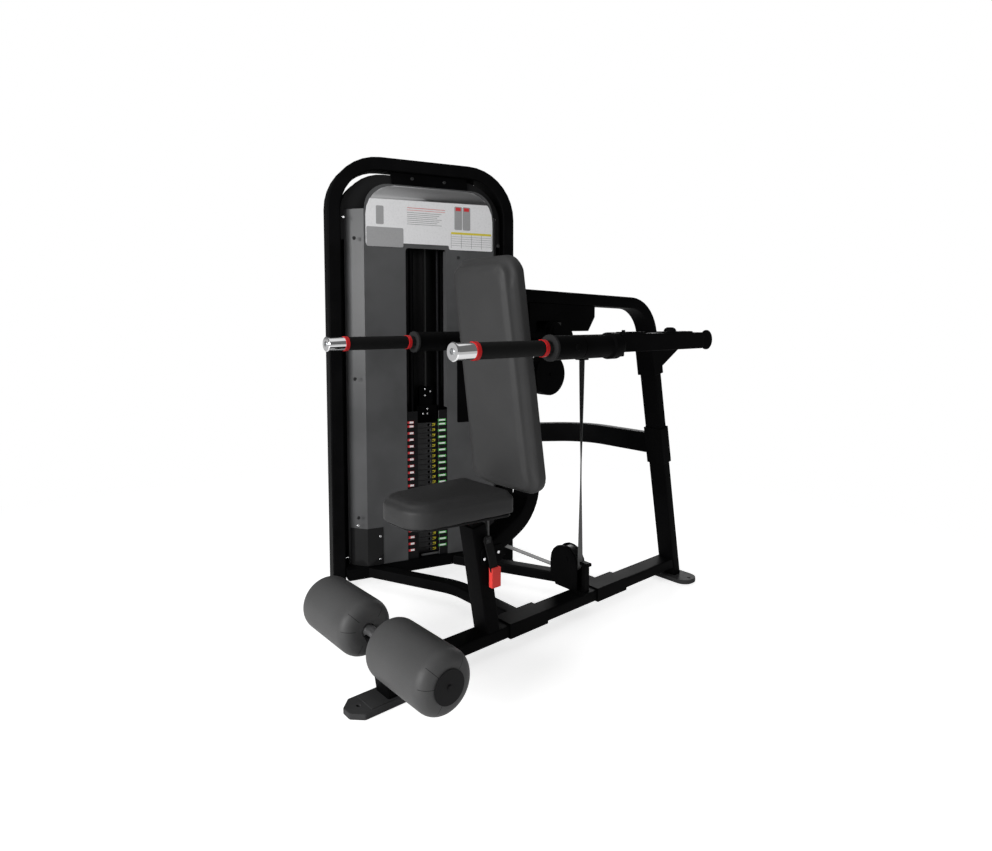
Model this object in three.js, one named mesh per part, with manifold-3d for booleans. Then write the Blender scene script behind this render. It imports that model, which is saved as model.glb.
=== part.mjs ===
// Dip machine: seated press-down arms, belt drive and a shrouded weight stack.
// Row frame in millimetres: +X towards the user's left, +Y to the rear, +Z up.
// The origin is on the floor under the roller axle, in the main beam's plane.
import * as THREE from 'three';
import { mergeVertices } from 'three/addons/utils/BufferGeometryUtils.js';
import Module from 'manifold-3d';

const wasm = await Module();
wasm.setup();

// Driving dimensions
const GAP = 0.3;
const FLOOR = 0;
const FAR = 4000;
const EDGE = 6;
const FINE_EDGE = 2;
const DEG = Math.PI / 180;
const FULL_TURN = 2 * Math.PI;
const ROUND_STEPS = 32;
const COARSE_STEPS = 20;
const BEND_STEPS = 9;

const STOCK = { half: 34, low: 47, high: 85, rise: 19.5 };
const FOOT = { half: 46, thick: 16, front: -95, rear: 78, hole: -60, holeRadius: 6, corner: 29, round: 9 };
const FOOT_PAD = { half: 38, thick: 1.6, front: -43 };
const POST = { frontLow: 10, rearLow: 48, frontHigh: -8, rearHigh: 28, shoulder: 140, head: 24 };
const AXLE = { radius: 16.5, height: 177, half: 303 };
const ROLLER = { radius: 79.4, inner: 47, outer: 307, round: 30, bore: 17.2, seat: 46 };
const ROLLER_CAP = { radius: 41, thick: 3, bolt: 6, boltThick: 3.5 };

const UPRIGHT = { footY: 1307.2, lean: 10.7, bend: 130 };
const TOP_BEAM = { front: 418, frontHeight: 1074, slope: -1.47 };
const REAR_FOOT = { half: 100, front: 1263, rear: 1355, hole: 83, holeRadius: 7 };
const SADDLE = { wall: 4, frontLow: 430, frontHigh: 590, rearLow: 830, rearHigh: 985 };
const SADDLE_UP = { wall: 4, braceLow: 466, braceHigh: 602, topWall: 7, topLow: 802, topHigh: 935 };
const GUSSET = { half: 24, low: 818, high: 890, top: 930, out: 136.2 };

const SEAT_POST = { foot: 369, lean: 9.65, depth: 49, wall: 5, top: 414 };
const BACK_TUBE = { depth: 50, topY: 452, topZ: 1078, cornerY: 543, cornerZ: 422, bend: 131 };
const BACK_TUBE_END = { y: 340, z: 320 };
const SIDE_PLATE = { thick: 4, low: 296, high: 346, front: 318, rear: 402, round: 14 };

const CROSS = { wide: 48, y: 510, bendX: -327, endX: -662, endY: 365, bend: 250 };
const REAR_CROSS = { wide: 48, y: 890, bendX: -105, endX: -560, endY: 682, bend: 120 };
const BRACE = { deep: 40, tall: 76, low: 498, y: 1210, bendX: -360, endX: -560, endY: 940, bend: 220 };

const PIVOT = { y: 605, z: 967, housing: 29.7, shaft: 15, halfHousing: 33, halfShaft: 54 };
const HANGER = { inner: 21.5, thick: 10, front: 512, rear: 806, low: 964, lowRear: 775 };
const NOTCH = { front: 537, rear: 648, top: 997, round: 10 };
const LUG = { inner: 36, thick: 14, radius: 26 };
const ARM = { x: 302, half: 25, front: 585, rear: 981, low: 912, high: 962 };
const ARM_CROSS = { front: 605, rear: 649, low: 896, high: 936.4 };
const LEVER = { half: 17, rear: 797, low: 896, high: 926 };
const ANCHOR = { y: 781, half: 15, low: 868, halfX: 16 };
const DISC = { y: 613, z: 830, radius: 65, half: 21, bolt: 5, boltThick: 3 };
const STOP_TAB = { front: 622, rear: 646, low: 972, thick: 8 };

const HANDLE = { z: 930, cap: 17, capRadius: 22, capThick: 4, shell: 20, tube: 15, stemEnd: 317 };
const GRIP = { radius: 20, front: 84, rear: 290, ring: 22, ringThick: 11 };
const SLEEVE = { radius: 31.5, disc: 33.5, discThick: 7, front: 318, rear: 537, flange: 36.5 };
const SLEEVE_BOLT = { y: 390, radius: 9, thick: 3, seam: 426, seamDeep: 1.2, seamWide: 2 };
const ARM_PLATE = { thick: 5, front: 600, rear: 690, bolt: 5, boltThick: 5 };
const BUMPER_PLATE = { thick: 4, front: 790, rear: 925, half: 20 };
const BUMPER = { y: 834, radius: 18, tall: 12 };
const PUCK = { y: 1033, radius: 31, thick: 9, pin: 4, pinInset: 20 };

const SEAT = { front: 48, rear: 381, half: 122, frontHalf: 98, frontRound: 66, rearRound: 22 };
const SEAT_PAD = { low: 462.3, thick: 64, crown: 7, slope: -0.0235 };
const PAD_SHARES = [[0.965, 0], [0.99, 0.12], [1, 0.42], [0.995, 0.72], [0.972, 0.88], [0.93, 0.97], [0.86, 1]];
const CROWN_SHARES = [[0.7, 0.45], [0.45, 0.8], [0.2, 0.97]];
const SEAT_BOARD = { thick: 8, inset: 8 };
const BACK = { y: 370.7, z: 829.5, lean: 7.9, half: 135, halfLow: 145, tall: 689, thick: 62, rim: 54, round: 50 };
const BACK_PAD = { crown: 8 };
const BACK_BOARD = { thick: 12, inset: 14 };
const BACK_BRACKET = { half: 28, tall: 70, offset: 150, depth: 15.1 };

const LOWER_PULLEY = { x: -45, y: 781, z: 186, radius: 43, half: 15, flange: 3, axle: 8 };
const YOKE = { x: -58, round: 61, z: 170, gap: 16, thick: 5, low: 85.3, base: 5, taper: 24, right: 40 };
const KEEPER = { legFrom: 17, legTo: 31, from: 8, to: 41, low: 178, high: 190, half: 11 };
const BELT = { half: 11, thick: 3.2 };

const TOWER = { x: -646.5, y: 598.4, turn: -15.49, half: 368.7, height: 1591 };
const TOWER_TUBE = { wide: 47.3, front: 37, rear: -38, corner: 172, foot: 10 };
const BASE = { low: 44, high: 84, front: 66, frontBack: 26, rear: -66 };
const TRAY = { thick: 3.3 };
const DROP = { headPlate: 151, rodEnd: 223.3, holder: 223, shroud: 99, shroudSide: 193, window: 326, shell: 57 };
const DROP_REAR = { lid: 191, tab: 301, placardTop: 104, placardLow: 325, placardCut: 310, pulley: 151 };
const fromTop = (drop) => TOWER.height - drop;
const HEAD_PLATE = { u: 26, half: 157, slant: 12, low: fromTop(DROP.headPlate), front: 12, thick: 4 };
const HEAD_YOKE = { n: -24, gap: 16, thick: 4, left: -70, right: 210, low: fromTop(DROP.holder) };
const SHROUD = { sheet: 3, flangeU: 303, flangeN: 2, cornerLeft: -244.5, cornerRight: 268, front: 56, low: 87.6 };
const SHROUD_TOP = { sideHigh: fromTop(DROP.shroudSide), high: fromTop(DROP.shroud), round: 90 };
const WINDOW = { left: -90, right: 72, high: fromTop(DROP.window), round: 12 };
const SHELL = { sheet: 3, sideU: 319.5, rear: -70, low: 87.6, high: fromTop(DROP.shell), round: 165 };
const LID = { front: 4, low: fromTop(DROP_REAR.lid), tabLow: fromTop(DROP_REAR.tab), tabU: 304 };
const PLACARD = { left: -238, right: 263, low: fromTop(DROP_REAR.placardLow), high: fromTop(DROP_REAR.placardTop),
  thick: 1.6, round: 108, foot: 14 };
const PLACARD_CUT = { left: -102, right: 82, high: fromTop(DROP_REAR.placardCut) };
const CARRIER = { n: 50, thick: 3, leftA: -102, leftB: -47, rightA: 36, rightB: 86 };
const CARRIER_SPAN = { high: 655 };
const STACK = { u: 10, n: -24, halfU: 95, halfN: 40, low: 92, pitch: 20.5, plates: 25, lifted: 17, foot: 14 };
const STACK_CUT = { deep: 4, high: 1.6, hole: 5.5, holeDeep: 34 };
const ROD = { u: 55, radius: 9.5, low: 87.6, high: fromTop(DROP.rodEnd), collar: 19.5 };
const CARRIAGE = { halfU: 42, halfN: 20, tall: 64, clampHalf: 27, clampTall: 73, clampHalfN: 9 };
const PIN = { radius: 4.5, knob: 12, knobFrom: 0.5, knobLong: 22, inset: 24 };
const TOP_PULLEY = { radius: 43, half: 15, z: fromTop(DROP_REAR.pulley), axle: 7, outerU: 152, flange: 3 };
const BASE_PULLEY = { n: 2, radius: 28, half: 15, flange: 3, axle: 6 };
const BASE_YOKE = { thick: 3, gap: 16, half: 16 };
const SLOT = { half: 17, tall: 22 };
const CORNER = { thick: 1.6, low: 88, high: 228, reachLeft: 58, reachRight: 34, share: 0.12 };
const SILL = { halfU: 42, low: 87.6, high: 95, front: 42, rear: 34 };
const SEAT_SLIDER = { half: 28, depth: 38.2, low: 130 };
const SEAT_BRACKET = { half: 60, front: 225, rear: 352, thick: 6, legFrom: 18, legTo: 32, legThick: 6, legLow: 378 };
const LATCH = { y: 334, z: 372, x: 43.5, thick: 6, eye: 14, half: 13, kneeY: 352, kneeZ: 306 };
const LATCH_END = { y: 361, z: 262, gripHalf: 16, gripLow: 227, gripHigh: 287, gripThick: 15 };
const LATCH_PIN = { radius: 5, reach: 8 };
const BOLT = { radius: 7, thick: 4 };

// Small helpers
const v2 = (x, y) => new THREE.Vector2(x, y);
const parts = new THREE.Group();
const moved = (geometry, x, y, z) => geometry.translate(x, y, z);

function toSolid(geometry) {
  const bare = new THREE.BufferGeometry();
  const flat = geometry.index ? geometry.toNonIndexed() : geometry;
  bare.setAttribute('position', flat.getAttribute('position').clone());
  const merged = mergeVertices(bare, 1e-4);
  const mesh = new wasm.Mesh({
    numProp: 3,
    vertProperties: new Float32Array(merged.getAttribute('position').array),
    triVerts: new Uint32Array(merged.index.array),
  });
  mesh.merge();
  return new wasm.Manifold(mesh);
}

function toGeometry(solid) {
  const mesh = solid.getMesh();
  const geometry = new THREE.BufferGeometry();
  geometry.setAttribute('position', new THREE.BufferAttribute(new Float32Array(mesh.vertProperties), 3));
  geometry.setIndex(new THREE.BufferAttribute(new Uint32Array(mesh.triVerts), 1));
  return geometry;
}

function cut(geometry, ...tools) {
  let solid = toSolid(geometry);
  for (const tool of tools) solid = solid.subtract(toSolid(tool));
  return toGeometry(solid);
}

function join(geometry, ...others) {
  let solid = toSolid(geometry);
  for (const other of others) solid = solid.add(toSolid(other));
  return toGeometry(solid);
}

const common = (a, b) => toGeometry(toSolid(a).intersect(toSolid(b)));

// A block given by its lower and upper corner
function block(x0, x1, y0, y1, z0, z1) {
  const geometry = new THREE.BoxGeometry(x1 - x0, y1 - y0, z1 - z0);
  return moved(geometry, (x0 + x1) / 2, (y0 + y1) / 2, (z0 + z1) / 2);
}

// A flat outline pushed up from z0 to z1, with softened edges
function slab(points, z0, z1, edge = 0, steps = 2) {
  const shape = new THREE.Shape(points);
  const options = { depth: z1 - z0, bevelEnabled: false, curveSegments: COARSE_STEPS };
  if (edge > 0) {
    options.depth = z1 - z0 - 2 * edge;
    options.bevelEnabled = true;
    options.bevelThickness = edge;
    options.bevelSize = edge;
    options.bevelOffset = -edge;
    options.bevelSegments = steps;
  }
  return moved(new THREE.ExtrudeGeometry(shape, options), 0, 0, z0 + edge);
}

// The same, with the outline drawn in (y, z) and pushed along x
function sideSlab(points, x0, x1, edge = 0, steps = 2) {
  const geometry = slab(points, x0, x1, edge, steps);
  const turn = new THREE.Matrix4().set(0, 0, 1, 0, 1, 0, 0, 0, 0, 1, 0, 0, 0, 0, 0, 1);
  return geometry.applyMatrix4(turn);
}

// Softened block
function softBlock(x0, x1, y0, y1, z0, z1, edge = FINE_EDGE) {
  return slab([v2(x0, y0), v2(x1, y0), v2(x1, y1), v2(x0, y1)], z0, z1, edge, 1);
}

// Corners of an outline rounded with arcs
function rounded(corners, radii, steps = BEND_STEPS) {
  const out = [];
  corners.forEach((corner, i) => {
    const before = corners[(i + corners.length - 1) % corners.length];
    const after = corners[(i + 1) % corners.length];
    const radius = Array.isArray(radii) ? radii[i] : radii;
    if (!radius) {
      out.push(corner.clone());
      return;
    }
    out.push(...fillet(before, corner, after, radius, steps));
  });
  return out;
}

function fillet(before, corner, after, radius, steps) {
  const a = before.clone().sub(corner).normalize();
  const b = after.clone().sub(corner).normalize();
  const half = Math.acos(Math.max(-1, Math.min(1, a.dot(b)))) / 2;
  const reach = radius / Math.tan(half);
  const centre = a.clone().add(b).normalize().multiplyScalar(radius / Math.sin(half)).add(corner);
  const start = corner.clone().addScaledVector(a, reach).sub(centre);
  const sweep = (Math.PI - 2 * half) * Math.sign(a.cross(b)) * -1;
  const out = [];
  for (let k = 0; k <= steps; k += 1) {
    out.push(start.clone().rotateAround(v2(0, 0), sweep * k / steps).add(centre));
  }
  return out;
}

// Centre line with rounded corners, open at both ends
function route(corners, radius) {
  const out = [corners[0].clone()];
  for (let i = 1; i < corners.length - 1; i += 1) {
    out.push(...fillet(corners[i - 1], corners[i], corners[i + 1], radius, BEND_STEPS));
  }
  out.push(corners[corners.length - 1].clone());
  return out;
}

// Band of a given half width along a centre line
function band(line, half) {
  const left = [];
  const right = [];
  line.forEach((point, i) => {
    const before = line[Math.max(i - 1, 0)];
    const after = line[Math.min(i + 1, line.length - 1)];
    const into = point.clone().sub(before);
    const away = after.clone().sub(point);
    const a = into.lengthSq() > 0 ? into.normalize() : away.clone().normalize();
    const b = away.lengthSq() > 0 ? away.normalize() : a.clone();
    const along = a.clone().add(b).normalize();
    const width = half / Math.max(along.dot(a), GAP);
    const side = v2(-along.y, along.x).multiplyScalar(width);
    left.push(point.clone().add(side));
    right.push(point.clone().sub(side));
  });
  return [...left, ...right.reverse()];
}

// Turned piece about x, y or z through a centre, from a closed profile of [radius, offset]
function turned(profile, axis, centre, steps = ROUND_STEPS) {
  const geometry = new THREE.LatheGeometry(profile.map(([r, h]) => v2(r, h)), steps);
  if (axis === 'x') geometry.rotateZ(-Math.PI / 2);
  if (axis === 'z') geometry.rotateX(Math.PI / 2);
  return moved(geometry, ...centre);
}

// Plain rod between two offsets along an axis
function rod(radius, from, to, axis, centre, steps = ROUND_STEPS) {
  return turned([[0, from], [radius, from], [radius, to], [0, to]], axis, centre, steps);
}

// Rod with softened rims
function softRod(radius, from, to, edge, axis, centre, steps = ROUND_STEPS) {
  const rim = [[0, from], [radius - edge, from], [radius, from + edge], [radius, to - edge]];
  return turned([...rim, [radius - edge, to], [0, to]], axis, centre, steps);
}

// Solid skinned over equal rings of points, closed at both ends
function loft(rings) {
  const count = rings[0].length;
  const positions = rings.flat().flatMap((point) => [point.x, point.y, point.z]);
  const index = [];
  for (let r = 0; r < rings.length - 1; r += 1) {
    for (let k = 0; k < count; k += 1) {
      const next = (k + 1) % count;
      const a = r * count + k;
      const b = r * count + next;
      index.push(a, b, b + count, a, b + count, a + count);
    }
  }
  const last = (rings.length - 1) * count;
  for (const [base, flip] of [[0, true], [last, false]]) {
    const middle = positions.length / 3;
    const sum = new THREE.Vector3();
    for (let k = 0; k < count; k += 1) sum.add(rings[base ? rings.length - 1 : 0][k]);
    sum.divideScalar(count);
    positions.push(sum.x, sum.y, sum.z);
    for (let k = 0; k < count; k += 1) {
      const next = (k + 1) % count;
      if (flip) index.push(middle, base + next, base + k);
      else index.push(middle, base + k, base + next);
    }
  }
  const geometry = new THREE.BufferGeometry();
  geometry.setAttribute('position', new THREE.Float32BufferAttribute(positions, 3));
  geometry.setIndex(index);
  return geometry;
}

// Colours of the finishes
const FINISH = {
  frame: [0x17181a, 0.4, 0.45],
  shroud: [0x6b6d70, 0.5, 0.4],
  pad: [0x3c3c3d, 0, 0.6],
  rubber: [0x151515, 0, 0.8],
  chrome: [0xe4e6e8, 1, 0.15],
  steel: [0xb4b7ba, 1, 0.35],
  red: [0xc8202a, 0, 0.5],
  white: [0xf2f2f2, 0, 0.5],
  green: [0x3f9a55, 0, 0.5],
  yellow: [0xd9cf5a, 0, 0.5],
  plate: [0x222325, 0.3, 0.55],
  foot: [0x4a4b4d, 0.3, 0.5],
  zinc: [0x9a9c9e, 0.6, 0.4],
};

function add(name, finish, geometry) {
  const [color, metalness, roughness] = FINISH[finish];
  const material = new THREE.MeshStandardMaterial({ color, metalness, roughness });
  material.name = `${name}_finish`;
  const mesh = new THREE.Mesh(geometry, material);
  mesh.name = name;
  parts.add(mesh);
  return geometry;
}

// Tower pieces are drawn as (n, u, z) and turned into the row frame
function inTower(geometry) {
  geometry.rotateZ(TOWER.turn * DEG);
  return moved(geometry, TOWER.x, TOWER.y, 0);
}

// Feet and front post
const footTop = FOOT.thick + FOOT_PAD.thick;
function makeFrontFoot() {
  const tipHalf = FOOT.half - FOOT.corner;
  const shoulder = FOOT.front + FOOT.corner;
  const corners = [v2(-FOOT.half, shoulder), v2(-tipHalf, FOOT.front), v2(tipHalf, FOOT.front),
    v2(FOOT.half, shoulder), v2(FOOT.half, FOOT.rear), v2(-FOOT.half, FOOT.rear)];
  const radii = [FOOT.round, FOOT.round, FOOT.round, FOOT.round, EDGE + EDGE, EDGE + EDGE];
  const plate = slab(rounded(corners, radii), FLOOR, FOOT.thick, FINE_EDGE);
  const step = block(-FOOT_PAD.half, FOOT_PAD.half, FOOT_PAD.front, FOOT.rear - EDGE, FOOT.thick / 2, footTop);
  const hole = rod(FOOT.holeRadius, -EDGE, footTop + EDGE, 'z', [0, FOOT.hole, 0]);
  return cut(join(plate, step), hole);
}
add('front_foot', 'foot', makeFrontFoot());

const postLow = footTop + GAP;
const postRear = (z) => POST.rearLow
  + (POST.rearHigh - POST.rearLow) * (z - postLow) / (POST.shoulder - postLow);
function makeFrontPost() {
  const outline = [v2(POST.frontLow, postLow), v2(POST.rearLow, postLow), v2(POST.rearHigh, POST.shoulder)];
  const turnFrom = -20 * DEG;
  const turnTo = 200 * DEG;
  for (let k = 0; k <= BEND_STEPS; k += 1) {
    const turn = turnFrom + (turnTo - turnFrom) * k / BEND_STEPS;
    outline.push(v2(POST.head * Math.cos(turn), AXLE.height + POST.head * Math.sin(turn)));
  }
  outline.push(v2(POST.frontHigh, POST.shoulder));
  const body = sideSlab(outline, -STOCK.half, STOCK.half, EDGE);
  const saddle = rod(AXLE.radius + GAP, -STOCK.half - EDGE, STOCK.half + EDGE, 'x', [0, 0, AXLE.height]);
  return cut(body, saddle, block(-FAR, FAR, -FAR, FAR, AXLE.height, FAR));
}
add('front_post', 'frame', makeFrontPost());

// Leaning rear upright and top beam, one bent tube
const uprightTan = Math.tan(UPRIGHT.lean * DEG);
const uprightCos = Math.cos(UPRIGHT.lean * DEG);
const uprightY = (z) => UPRIGHT.footY - (z - FOOT.thick) * uprightTan;
const beamTan = Math.tan(TOP_BEAM.slope * DEG);
const topBeamZ = (y) => TOP_BEAM.frontHeight + (y - TOP_BEAM.front) * beamTan;
const elbowZ = (topBeamZ(UPRIGHT.footY) + FOOT.thick * uprightTan * beamTan) / (1 + uprightTan * beamTan);
const elbow = v2(uprightY(elbowZ), elbowZ);
const uprightLine = (low, high) => [v2(uprightY(low), low), v2(uprightY(high), high)];
const frameLine = route([v2(uprightY(FLOOR - STOCK.high), FLOOR - STOCK.high), elbow,
  v2(TOP_BEAM.front, TOP_BEAM.frontHeight)], UPRIGHT.bend);
const frameBand = (extra, edge) => sideSlab(band(frameLine, STOCK.rise + extra),
  -STOCK.half - extra, STOCK.half + extra, edge);
const aboveFoot = (geometry, low) => common(geometry, block(-FAR, FAR, -FAR, FAR, low, FAR));
add('frame_tube', 'frame', aboveFoot(frameBand(0, EDGE), FOOT.thick + GAP));

function makeRearFoot() {
  const corners = [v2(-REAR_FOOT.half, REAR_FOOT.front), v2(REAR_FOOT.half, REAR_FOOT.front),
    v2(REAR_FOOT.half, REAR_FOOT.rear), v2(-REAR_FOOT.half, REAR_FOOT.rear)];
  const round = (REAR_FOOT.rear - REAR_FOOT.front) / 2 - EDGE;
  const plate = slab(rounded(corners, round), FLOOR, FOOT.thick, FINE_EDGE);
  const middle = (REAR_FOOT.front + REAR_FOOT.rear) / 2;
  const holes = [-1, 1].map((side) => rod(REAR_FOOT.holeRadius, -EDGE, FOOT.thick + EDGE, 'z',
    [side * REAR_FOOT.hole, middle, 0]));
  return cut(plate, ...holes);
}
add('rear_foot', 'foot', makeRearFoot());

// Main beam along the floor
const uprightFront = (z, extra) => uprightY(z) - (STOCK.rise + extra) / uprightCos;
function makeMainBeam() {
  const outline = [v2(postRear(STOCK.low) + GAP, STOCK.low), v2(uprightFront(STOCK.low, GAP), STOCK.low),
    v2(uprightFront(STOCK.high, GAP), STOCK.high), v2(postRear(STOCK.high) + GAP, STOCK.high)];
  return sideSlab(outline, -STOCK.half, STOCK.half, EDGE);
}
add('main_beam', 'frame', makeMainBeam());

// Sleeves that clamp the cross tubes to the beams
const saddleHalf = STOCK.half + GAP + SADDLE.wall;
function beamSaddle(front, rear) {
  const low = STOCK.low - GAP - SADDLE.wall;
  const high = STOCK.high + GAP + SADDLE.wall;
  const outer = softBlock(-saddleHalf, saddleHalf, front, rear, low, high);
  const inner = block(-STOCK.half - GAP, STOCK.half + GAP, front - EDGE, rear + EDGE,
    STOCK.low - GAP, STOCK.high + GAP);
  return cut(outer, inner);
}

function uprightSaddle(low, high, wall) {
  const outer = sideSlab(band(uprightLine(low, high), STOCK.rise + GAP + wall), -saddleHalf, saddleHalf,
    FINE_EDGE, 1);
  return cut(outer, frameBand(GAP, 0));
}

function makeGusset() {
  const behind = (z) => uprightY(z) + (STOCK.rise + GAP + SADDLE_UP.topWall / 2) / uprightCos;
  const reach = behind(GUSSET.high) + GUSSET.out;
  const outline = [v2(behind(GUSSET.low), GUSSET.low), v2(reach, GUSSET.high),
    v2(reach, GUSSET.top), v2(behind(GUSSET.top), GUSSET.top)];
  return sideSlab(outline, -GUSSET.half, GUSSET.half, FINE_EDGE, 1);
}
const topSaddle = uprightSaddle(SADDLE_UP.topLow, SADDLE_UP.topHigh, SADDLE_UP.topWall);
add('top_saddle', 'frame', join(topSaddle, makeGusset()));

// Seat post, leaning, hollow at the top for the seat's slider
const postTan = Math.tan(SEAT_POST.lean * DEG);
const postCos = Math.cos(SEAT_POST.lean * DEG);
const seatPostY = (z) => SEAT_POST.foot - (z - STOCK.high) * postTan;
const postLine = (low, high) => [v2(seatPostY(low), low), v2(seatPostY(high), high)];
function makeSeatPost() {
  const outer = sideSlab(band(postLine(STOCK.low, SEAT_POST.top), SEAT_POST.depth / 2),
    -STOCK.half, STOCK.half, EDGE);
  const inside = sideSlab(band(postLine(SEAT_SLIDER.low - EDGE, SEAT_POST.top + STOCK.half),
    SEAT_POST.depth / 2 - SEAT_POST.wall), -STOCK.half + SEAT_POST.wall, STOCK.half - SEAT_POST.wall);
  const hole = rod(LATCH_PIN.radius + GAP, 0, STOCK.half + EDGE, 'x', [0, LATCH.y, LATCH.z]);
  return cut(aboveFoot(outer, STOCK.high + GAP), inside, hole);
}
add('seat_post', 'frame', makeSeatPost());

// Bent tube behind the back pad, ending on the seat post
const backLine = route([v2(BACK_TUBE.topY, BACK_TUBE.topZ), v2(BACK_TUBE.cornerY, BACK_TUBE.cornerZ),
  v2(BACK_TUBE_END.y, BACK_TUBE_END.z)], BACK_TUBE.bend);
const beamUnder = topBeamZ(BACK_TUBE.topY + BACK_TUBE.depth) - (STOCK.rise + GAP) / Math.cos(TOP_BEAM.slope * DEG);
function makeBackTube() {
  const tube = sideSlab(band(backLine, BACK_TUBE.depth / 2), -STOCK.half, STOCK.half, EDGE);
  const clear = sideSlab(band(postLine(STOCK.low, SEAT_POST.top + STOCK.high),
    SEAT_POST.depth / 2 + GAP), -FAR, FAR);
  const below = block(-FAR, FAR, seatPostY(BACK_TUBE_END.z) - GAP, FAR, FLOOR, beamUnder);
  return common(cut(tube, clear), below);
}

function sidePlate(side) {
  const corners = [v2(SIDE_PLATE.front, SIDE_PLATE.low), v2(SIDE_PLATE.rear, SIDE_PLATE.low),
    v2(SIDE_PLATE.rear, SIDE_PLATE.high), v2(SIDE_PLATE.front, SIDE_PLATE.high)];
  const from = STOCK.half + GAP;
  const outer = from + SIDE_PLATE.thick;
  const pad = side > 0 ? [STOCK.half - EDGE, outer - GAP] : [GAP - outer, EDGE - STOCK.half];
  const weld = block(...pad, seatPostY(SIDE_PLATE.low) + SEAT_POST.depth / 2 + EDGE, SIDE_PLATE.rear - EDGE,
    SIDE_PLATE.low + EDGE + EDGE, SIDE_PLATE.high - EDGE - EDGE);
  const outline = rounded(corners, SIDE_PLATE.round);
  const plate = side > 0 ? sideSlab(outline, from, outer) : sideSlab(outline, -outer, -from);
  const middle = (SIDE_PLATE.low + SIDE_PLATE.high) / 2;
  const bolts = [SIDE_PLATE.front + SIDE_PLATE.round, SIDE_PLATE.rear - SIDE_PLATE.round].map((y) => {
    const heads = [side * (outer - SIDE_PLATE.thick / 2), side * (outer + BOLT.thick)].sort((a, b) => a - b);
    return rod(BOLT.radius, heads[0], heads[1], 'x', [0, y, middle], COARSE_STEPS);
  });
  return join(plate, weld, ...bolts);
}
add('back_tube', 'frame', join(makeBackTube(), sidePlate(1), sidePlate(-1)));

// Tower base tubes and the cross tubes that reach it
const legInner = TOWER.half - TOWER_TUBE.wide;
const baseReach = legInner - GAP;
const behindBase = () => block(-FAR, BASE.front + GAP, -FAR, FAR, FLOOR, STOCK.high + STOCK.high);
function horizontalTube(spec, from) {
  const line = route([v2(from, spec.y), v2(spec.bendX, spec.y), v2(spec.endX, spec.endY)], spec.bend);
  const tube = slab(band(line, spec.wide / 2), STOCK.low, STOCK.high, EDGE);
  return cut(tube, inTower(behindBase()));
}
const weldX = SADDLE.wall / 2 - saddleHalf;
add('front_cross_tube', 'frame', join(horizontalTube(CROSS, weldX),
  beamSaddle(SADDLE.frontLow, SADDLE.frontHigh)));
add('rear_cross_tube', 'frame', join(horizontalTube(REAR_CROSS, weldX),
  beamSaddle(SADDLE.rearLow, SADDLE.rearHigh)));

// Brace from the upright to the tower's rear leg
const legBlock = (side, extra) => {
  const edges = [side * (legInner - extra), side * (TOWER.half + extra)].sort((a, b) => a - b);
  return block(TOWER_TUBE.rear - extra, TOWER_TUBE.front + extra, edges[0], edges[1], TOWER_TUBE.foot, FAR);
};
function makeBrace() {
  const line = route([v2(weldX, BRACE.y), v2(BRACE.bendX, BRACE.y), v2(BRACE.endX, BRACE.endY)], BRACE.bend);
  const bar = slab(band(line, BRACE.deep / 2), BRACE.low, BRACE.low + BRACE.tall, EDGE);
  return join(cut(bar, inTower(legBlock(1, GAP))),
    uprightSaddle(SADDLE_UP.braceLow, SADDLE_UP.braceHigh, SADDLE_UP.wall));
}
add('mid_brace', 'frame', makeBrace());

// Hanger plates under the top beam, with the arm pivot's housing between them
const underBeam = (y) => topBeamZ(y) - (STOCK.rise + GAP) / Math.cos(TOP_BEAM.slope * DEG);
function makeHanger() {
  const notch = rounded([v2(NOTCH.front, HANGER.low), v2(NOTCH.front, NOTCH.top), v2(NOTCH.rear, NOTCH.top),
    v2(NOTCH.rear, HANGER.low)], [0, NOTCH.round, NOTCH.round, 0]);
  const outline = [v2(HANGER.front, HANGER.low), ...notch, v2(HANGER.lowRear, HANGER.low),
    v2(HANGER.rear, PIVOT.z + STOCK.high / 2), v2(HANGER.rear, underBeam(HANGER.rear)),
    v2(HANGER.front, underBeam(HANGER.front))];
  const from = HANGER.inner;
  const to = HANGER.inner + HANGER.thick;
  const plates = [sideSlab(outline, from, to), sideSlab(outline, -to, -from)];
  const centre = [0, PIVOT.y, PIVOT.z];
  const housing = rod(PIVOT.housing + GAP + GAP, -PIVOT.halfHousing, PIVOT.halfHousing, 'x', centre);
  const bore = rod(PIVOT.shaft + GAP, -STOCK.high, STOCK.high, 'x', centre);
  const tab = softBlock(-to, to, STOP_TAB.front, STOP_TAB.rear, STOP_TAB.low, NOTCH.top + GAP, FINE_EDGE);
  return cut(join(plates[0], plates[1], housing, tab), bore);
}
add('pivot_hanger', 'frame', makeHanger());

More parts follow.
